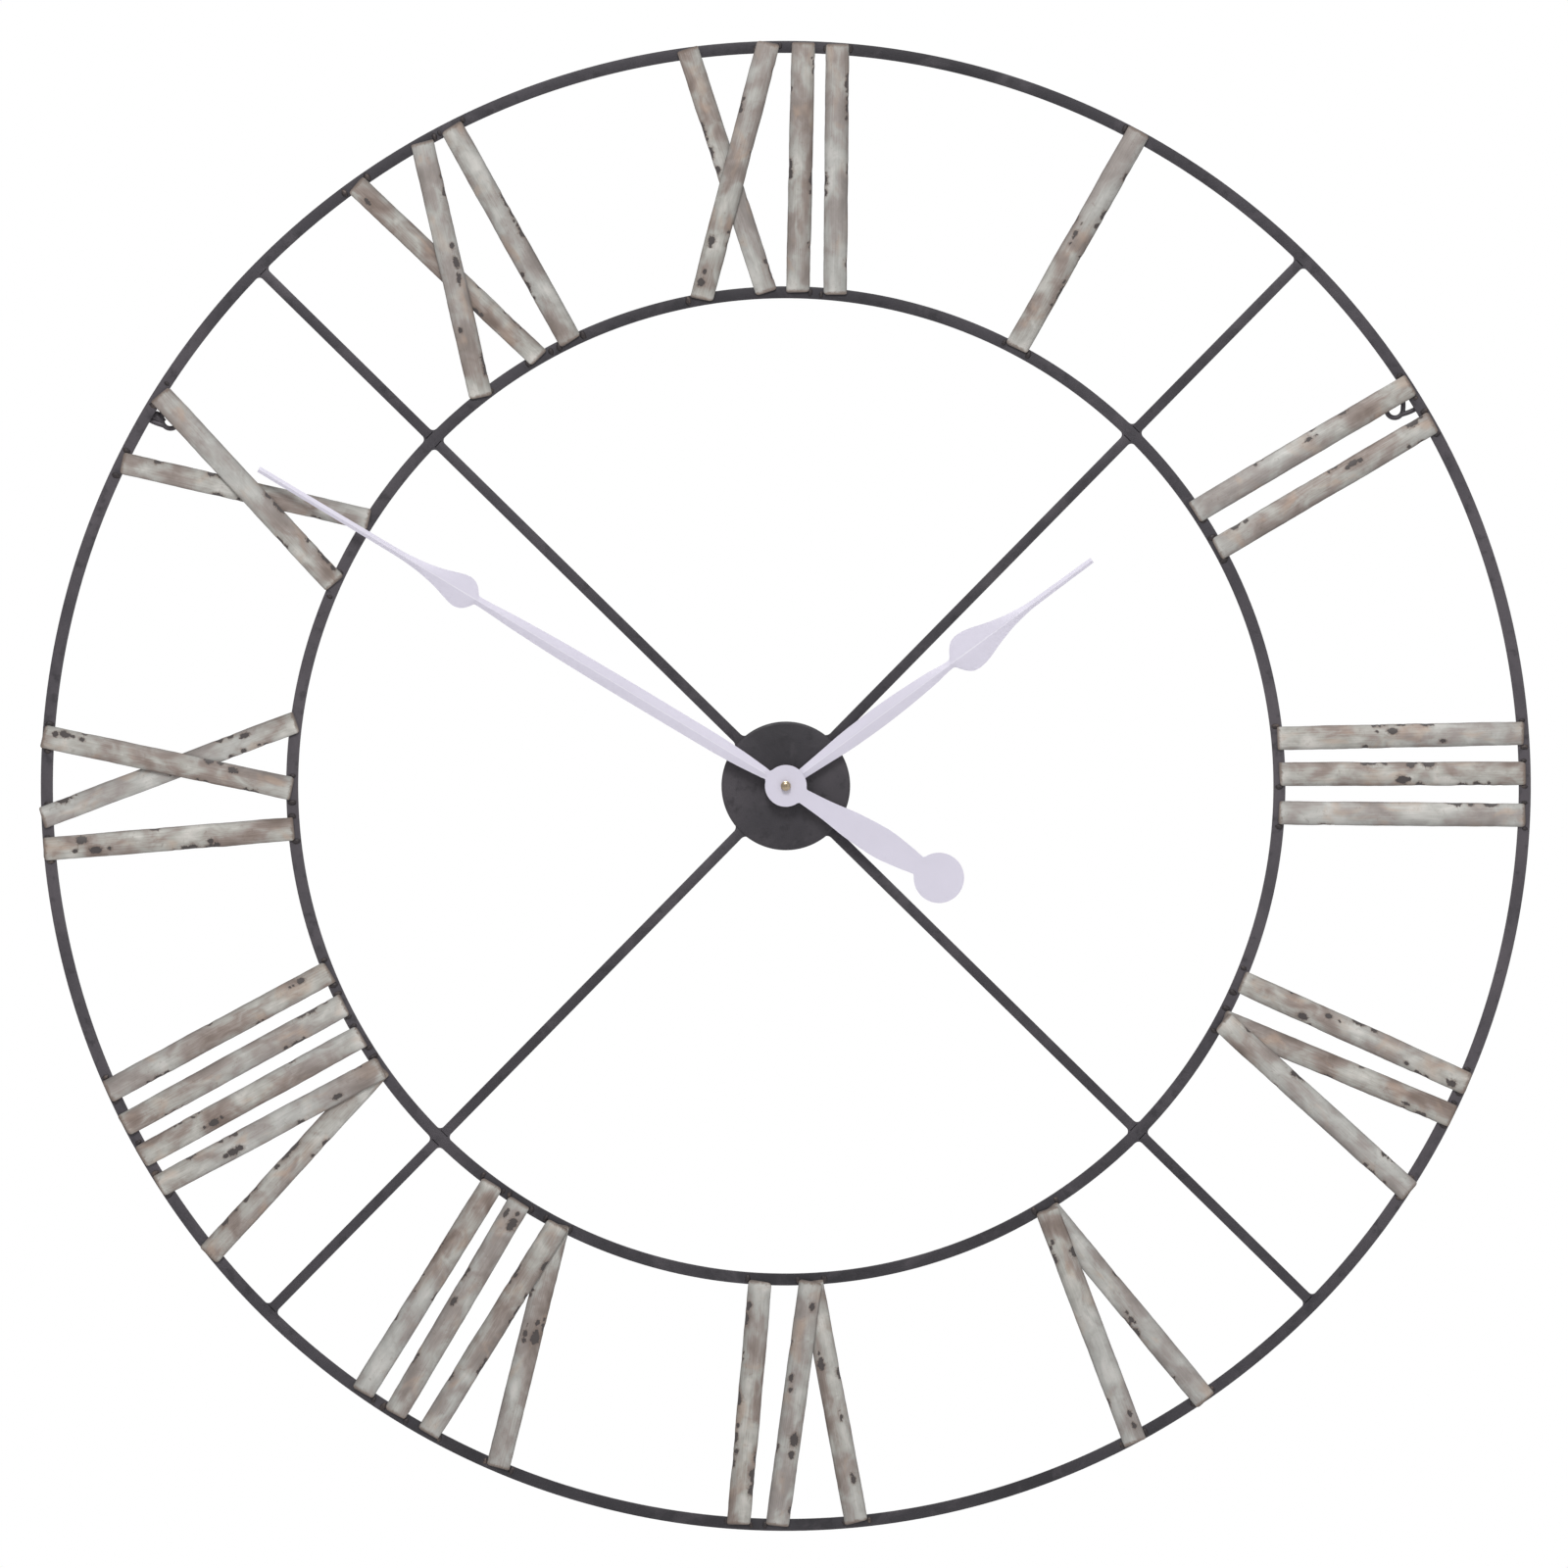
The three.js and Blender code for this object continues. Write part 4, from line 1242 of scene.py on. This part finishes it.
class CLOCK_OT_movement(bpy.types.Operator):
    """Finishes the movement's case, cover, knob and cell, and fits the springs that touch the cell"""

    bl_idname = "wall_clock.movement"
    bl_label = "Movement and cell"

    def execute(self, context):
        for node, edge in (("movement_case", 0.25 * MM), ("movement_cover", 0.2 * MM)):
            finish_piece(refined(f"{node}_moulding", node, edge), "frame", "plastic", node)
        self.knob()
        self.cell()
        self.contacts()
        return {"FINISHED"}

    def knob(self):
        """A fluted thumb knob with a grip bar, on the stem that carries its own gear."""
        low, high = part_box("setting_knob")
        x, z = (low.x + high.x) / 2, (low.z + high.z) / 2
        back, front, radius = -high.y, 2.3 * MM, (high.x - low.x) / 2
        cap = turned("knob_cap", [
            (0, front), (radius - 0.3 * MM, front), (radius, front - 0.3 * MM),
            (radius, back + 0.4 * MM), (radius - 0.35 * MM, back), (radius - 0.9 * MM, back),
            (radius - 1.2 * MM, back + 0.25 * MM), (0, back + 0.25 * MM),
        ], 96, (x, z))
        for vertex in cap.data.vertices:
            out = Vector((vertex.co.x - x, 0, vertex.co.z - z))
            if out.length > radius - 0.45 * MM:
                flute = 0.5 + 0.5 * math.cos(24 * math.atan2(out.z, out.x))
                vertex.co -= out.normalized() * 0.22 * MM * flute
        grip = block(
            "knob_grip", (x - radius + 1.6 * MM, -(back + 0.5 * MM), z - 0.55 * MM),
            (x + radius - 1.6 * MM, -(back + 0.02 * MM), z + 0.55 * MM), 0.15 * MM,
        )
        stem = refined("knob_stem", "setting_knob", 0.06 * MM, 1)
        with editing(stem, "FACE"):
            bpy.ops.mesh.select_all(action="SELECT")
            bpy.ops.mesh.bisect(
                plane_co=(0, -(front - 0.2 * MM), 0), plane_no=(0, 1, 0), use_fill=True, clear_outer=True,
            )
        knob = joined("setting_knob_cap", [cap, grip, stem])
        finish_piece(knob, "setting_knob", "plastic", "setting_knob")

    def cell(self):
        """A dry cell along x: a jacket, rolled ends and a nub."""
        low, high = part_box("battery")
        y, z = (low.y + high.y) / 2, (low.z + high.z) / 2
        radius = (high.z - low.z) / 2
        left, right = low.x, high.x
        shoulder = right - 1.1 * MM
        jacket_profile = [
            (radius - 1.3 * MM, left + 0.35 * MM), (radius - 0.35 * MM, left + 0.05 * MM),
            (radius - 0.05 * MM, left + 0.35 * MM), (radius, left + 0.7 * MM),
            (radius, shoulder - 0.6 * MM), (radius - 0.1 * MM, shoulder - 0.25 * MM),
            (radius - 0.5 * MM, shoulder), (radius - 1.4 * MM, shoulder - 0.2 * MM),
        ]
        steel_profile = [
            (0, left), (4.6 * MM, left), (5 * MM, left + 0.15 * MM), (5.2 * MM, left + 0.5 * MM),
            (5.2 * MM, shoulder - 0.35 * MM), (2.9 * MM, shoulder - 0.15 * MM),
            (2.7 * MM, shoulder + 0.1 * MM), (2.7 * MM, right - 0.3 * MM), (2.4 * MM, right), (0, right),
        ]
        for name, profile, finish, nodes in (
            ("cell_jacket", jacket_profile + [jacket_profile[0]], "jacket", ("battery",)),
            ("cell_can", steel_profile, "steel", ()),
        ):
            finish_piece(turned_along_x(name, profile, 64, y, z), "battery", finish, *nodes)

    def contacts(self):
        """The coil spring at the cell's flat end and the leaf at its nub."""
        low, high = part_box("battery")
        y, z = (low.y + high.y) / 2, (low.z + high.z) / 2
        wall = CASE_HALF - 1.5 * MM
        turns, steps = 2.5, 40
        points = []
        for i in range(steps + 1):
            share = i / steps
            turn = share * turns * 2 * math.pi
            reach = (4.2 - 2.0 * share) * MM
            x = -wall + 0.35 * MM + share * (low.x + wall - 0.8 * MM)
            points.append(Vector((x, y + reach * math.cos(turn), z + reach * math.sin(turn))))
        spring = wire("contact_spring", points, 0.25 * MM, resolution=3)
        finish_piece(spring, "frame", "steel", angle=60)
        leaf = block(
            "contact_leaf", (wall - 0.65 * MM, y - 3.2 * MM, z - 4.5 * MM),
            (wall - 0.25 * MM, y + 3.2 * MM, z + 4.5 * MM), 0.12 * MM,
        )
        finish_piece(leaf, "frame", "steel")


def arc_points(centre, radius, first, last, steps=20):
    """Points (x, z) round an arc, in degrees from the x axis towards z."""
    turns = [math.radians(first + (last - first) * i / steps) for i in range(steps + 1)]
    return [(centre[0] + radius * math.cos(t), centre[1] + radius * math.sin(t)) for t in turns]


class CLOCK_OT_works(bpy.types.Operator):
    """Finishes the wheels and fits the coil, the stator and the circuit board inside the case"""

    bl_idname = "wall_clock.works"
    bl_label = "Works"

    def execute(self, context):
        for node, finish in (
            ("centre_wheel", "brass"), ("third_wheel", "brass"), ("fourth_wheel", "gear"),
            ("fifth_wheel", "gear"), ("minute_wheel", "gear"), ("hour_wheel", "gear"), ("rotor", "steel"),
        ):
            obj = frame["nodes"][node]
            obj.data.materials.clear()
            obj.data.materials.append(finish_named(finish))
        self.coil()
        self.stator()
        self.board()
        return {"FINISHED"}

    coil_z = 23.4 * MM
    coil_depth = 6.4 * MM
    coil_from, coil_to = 8.5 * MM, 22.3 * MM

    def coil(self):
        """A white bobbin along the top of the case, wound with fine copper wire."""
        z, depth, start, end = self.coil_z, self.coil_depth, self.coil_from, self.coil_to
        flange, tube, cheek = 2.9 * MM, 1.4 * MM, 0.6 * MM
        bobbin_profile = [
            (0, start), (flange - 0.15 * MM, start), (flange, start + 0.15 * MM), (flange, start + cheek),
            (tube, start + cheek), (tube, end - cheek), (flange, end - cheek), (flange, end - 0.15 * MM),
            (flange - 0.15 * MM, end), (0, end),
        ]
        wound = flange - 0.35 * MM
        ribs = []
        count = 44
        low, high = start + cheek, end - cheek
        for i in range(count):
            at = low + (high - low) * (i + 0.5) / count
            reach = (high - low) / count / 2
            ribs += [(wound - 0.06 * MM, at - reach), (wound, at)]
        winding_profile = [(tube, low), *ribs, (wound - 0.06 * MM, high), (tube, high), (tube, low)]
        for name, profile, finish in (
            ("coil_bobbin", bobbin_profile, "gear"), ("coil_winding", winding_profile, "winding"),
        ):
            finish_piece(turned_along_x(name, profile, 40, -depth, z), "frame", finish)

    def stator(self):
        """Two sheet poles that close round the rotor and reach up to the ends of the coil."""
        low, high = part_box("rotor")
        rotor = ((low.x + high.x) / 2, (low.z + high.z) / 2)
        bore, outside = 3.9 * MM, 5.6 * MM
        top, right = self.coil_z + 1.4 * MM, self.coil_to + 3.4 * MM
        left_tab, right_tab = self.coil_from - 0.3 * MM, self.coil_to + 0.4 * MM
        shelf = rotor[1] + outside - 0.4 * MM
        under_coil = rotor[1] + 3.4 * MM
        left = [
            *arc_points(rotor, bore, 95, 265), *arc_points(rotor, outside, 265, 115),
            (rotor[0] - 2.4 * MM, top), (left_tab, top), (left_tab, shelf), (rotor[0], shelf),
        ]
        right_pole = [
            *arc_points(rotor, bore, 85, -85), *arc_points(rotor, outside, -85, 0),
            (right, rotor[1]), (right, top), (right_tab, top), (right_tab, under_coil),
            *arc_points(rotor, outside - 0.8 * MM, 45, 85),
        ]
        depth = self.coil_depth - 0.4 * MM
        for name, outline in (("stator_pole_left", left), ("stator_pole_right", right_pole)):
            pole = cut_from_sheet(name, outline, depth, depth + 0.8 * MM)
            round_edges(pole, 0.08 * MM, 1, angle=60)
            finish_piece(pole, "frame", "steel")

    def board(self):
        """The circuit board on the left of the case, with its quartz can, chip and coil leads."""
        inside = CASE_HALF - 1.8 * MM
        left, right, back, front = -inside, -inside + 6.6 * MM, 2.4 * MM, 3.2 * MM
        board = block("circuit_board", (left, -front, -8.5 * MM), (right, -back, 24.5 * MM), 0.1 * MM, 1)
        finish_piece(board, "frame", "board")
        x = (left + right) / 2
        can = turned("quartz_can", [
            (0, 3 * MM), (0.8 * MM, 3 * MM), (1 * MM, 3.2 * MM), (1 * MM, 8.6 * MM),
            (0.7 * MM, 9 * MM), (0, 9 * MM),
        ], 24)
        for vertex in can.data.vertices:
            vertex.co = Vector((x + vertex.co.x, -(front + 1.02 * MM) + vertex.co.z, -vertex.co.y))
        clean(can)
        finish_piece(can, "frame", "steel")
        chip = turned("chip_drop", [
            (0, front - 0.05 * MM), (2.4 * MM, front - 0.05 * MM), (2.1 * MM, front + 0.5 * MM),
            (1.2 * MM, front + 0.9 * MM), (0, front + 1 * MM),
        ], 32, (x, 15 * MM))
        finish_piece(chip, "frame", "plastic")
        clear = -(front + 0.5 * MM)
        coil_top = self.coil_z + 2.4 * MM
        for count, reach in enumerate((0.0, 1.1 * MM), 1):
            over = 24.6 * MM + reach / 2
            lead = wire(f"coil_lead_{count}", [
                Vector((x + reach, -(front + 0.1 * MM), 23.2 * MM - reach)),
                Vector((x + 6 * MM, clear, over)),
                Vector((self.coil_from - 4 * MM, clear, over)),
                Vector((self.coil_from + 0.3 * MM, -(self.coil_depth - 1.6 * MM), coil_top - reach)),
            ], 0.12 * MM)
            finish_piece(lead, "frame", "winding", angle=60)


# --- Stage ---------------------------------------------------------------------------------------

class CLOCK_OT_stage(bpy.types.Operator):
    """Sets the pale floor, the soft light and the camera"""

    bl_idname = "wall_clock.stage"
    bl_label = "Stage"

    def execute(self, context):
        scene = context.scene
        scene.view_settings.view_transform = "Standard"
        self.floor()
        self.light()
        self.camera(scene)
        return {"FINISHED"}

    def floor(self):
        fresh()
        bpy.ops.mesh.primitive_plane_add(size=8, location=(0, 0, -1))
        floor = named("studio_floor")
        settle(floor)
        with editing(floor, "FACE"):
            bpy.ops.mesh.select_all(action="SELECT")
            bpy.ops.mesh.subdivide(number_cuts=8)
        finish = Finish("pale_floor", Roughness=0.8)
        finish.colour(finish.mix(finish.noise(3, 3), (0.86, 0.86, 0.86), (0.9, 0.9, 0.9)))
        floor.data.materials.append(finish.material)

    def light(self):
        world = bpy.data.worlds.new("studio_world")
        bpy.context.scene.world = world
        world.use_nodes = True
        tree = world.node_tree
        background = tree.nodes["Background"]
        path = tree.nodes.new("ShaderNodeLightPath")
        sky = tree.nodes.new("ShaderNodeTexCoord")
        split = tree.nodes.new("ShaderNodeSeparateXYZ")
        band = tree.nodes.new("ShaderNodeMapRange")
        for socket, number in (("From Min", -1), ("From Max", 1), ("To Min", 0.22), ("To Max", 0.62)):
            band.inputs[socket].default_value = number
        mixed = tree.nodes.new("ShaderNodeMix")
        tree.links.new(sky.outputs["Generated"], split.inputs["Vector"])
        tree.links.new(split.outputs["Z"], band.inputs["Value"])
        tree.links.new(path.outputs["Is Camera Ray"], mixed.inputs["Factor"])
        tree.links.new(band.outputs["Result"], mixed.inputs[2])
        mixed.inputs[3].default_value = 1.0
        tree.links.new(mixed.outputs[0], background.inputs["Strength"])
        background.inputs["Color"].default_value = (1, 1, 1, 1)
        for name, place, size, power in (
            ("key_light", (-0.3, -2.9, 3.2), 1.4, 105),
            ("fill_light", (2.4, -3.0, 0.4), 2.6, 10),
            ("back_light", (0.8, 3.4, 1.8), 2.6, 30),
        ):
            fresh()
            bpy.ops.object.light_add(type="AREA", location=place)
            light = bpy.context.active_object
            light.name = name
            light.data.size = size
            light.data.energy = power
            aim = -Vector(place)
            light.rotation_euler = aim.to_track_quat("-Z", "Y").to_euler()

    def camera(self, scene):
        """Square to the dial, almost level, and as wide as the rings and a narrow margin."""
        distance = 6.0
        seen = 1.0522
        aside, above = -1.2 * MM, 1.27 * MM
        fresh()
        bpy.ops.object.camera_add(location=(aside, -distance, above))
        camera = bpy.context.active_object
        camera.name = "camera"
        camera.rotation_euler = (math.pi / 2, 0, 0)
        camera.rotation_euler.rotate_axis("Z", math.radians(-0.5))
        camera.data.sensor_width = 36
        camera.data.lens = 36 * (distance - RING_FRONT) / seen
        camera.data.clip_end = 100
        scene.camera = camera


# --- Add-on ----------------------------------------------------------------------------------------

STEPS = (
    CLOCK_OT_stage, CLOCK_OT_rings, CLOCK_OT_spokes, CLOCK_OT_hub, CLOCK_OT_numerals, CLOCK_OT_beads,
    CLOCK_OT_loops, CLOCK_OT_minute_hand, CLOCK_OT_hour_hand, CLOCK_OT_movement, CLOCK_OT_works,
)


class CLOCK_PT_panel(bpy.types.Panel):
    """Lists the clock's sizes, colours and making steps"""

    bl_idname = "CLOCK_PT_panel"
    bl_label = "Wall Clock"
    bl_space_type = "VIEW_3D"
    bl_region_type = "UI"
    bl_category = "Wall Clock"

    def draw(self, context):
        for group in (context.scene.clock_sizes, context.scene.clock_colours):
            box = self.layout.box()
            for key in group.__annotations__:
                box.prop(group, key)
        for step in STEPS:
            self.layout.operator(step.bl_idname)


CLASSES = (ClockSizes, ClockColours, *STEPS, CLOCK_PT_panel)


def register():
    for cls in CLASSES:
        bpy.utils.register_class(cls)
    bpy.types.Scene.clock_sizes = PointerProperty(type=ClockSizes)
    bpy.types.Scene.clock_colours = PointerProperty(type=ClockColours)


def unregister():
    del bpy.types.Scene.clock_colours
    del bpy.types.Scene.clock_sizes
    for cls in reversed(CLASSES):
        bpy.utils.unregister_class(cls)


def main():
    register()
    for step in STEPS:
        group, action = step.bl_idname.split(".")
        getattr(getattr(bpy.ops, group), action)()


if __name__ == "__main__":
    main()
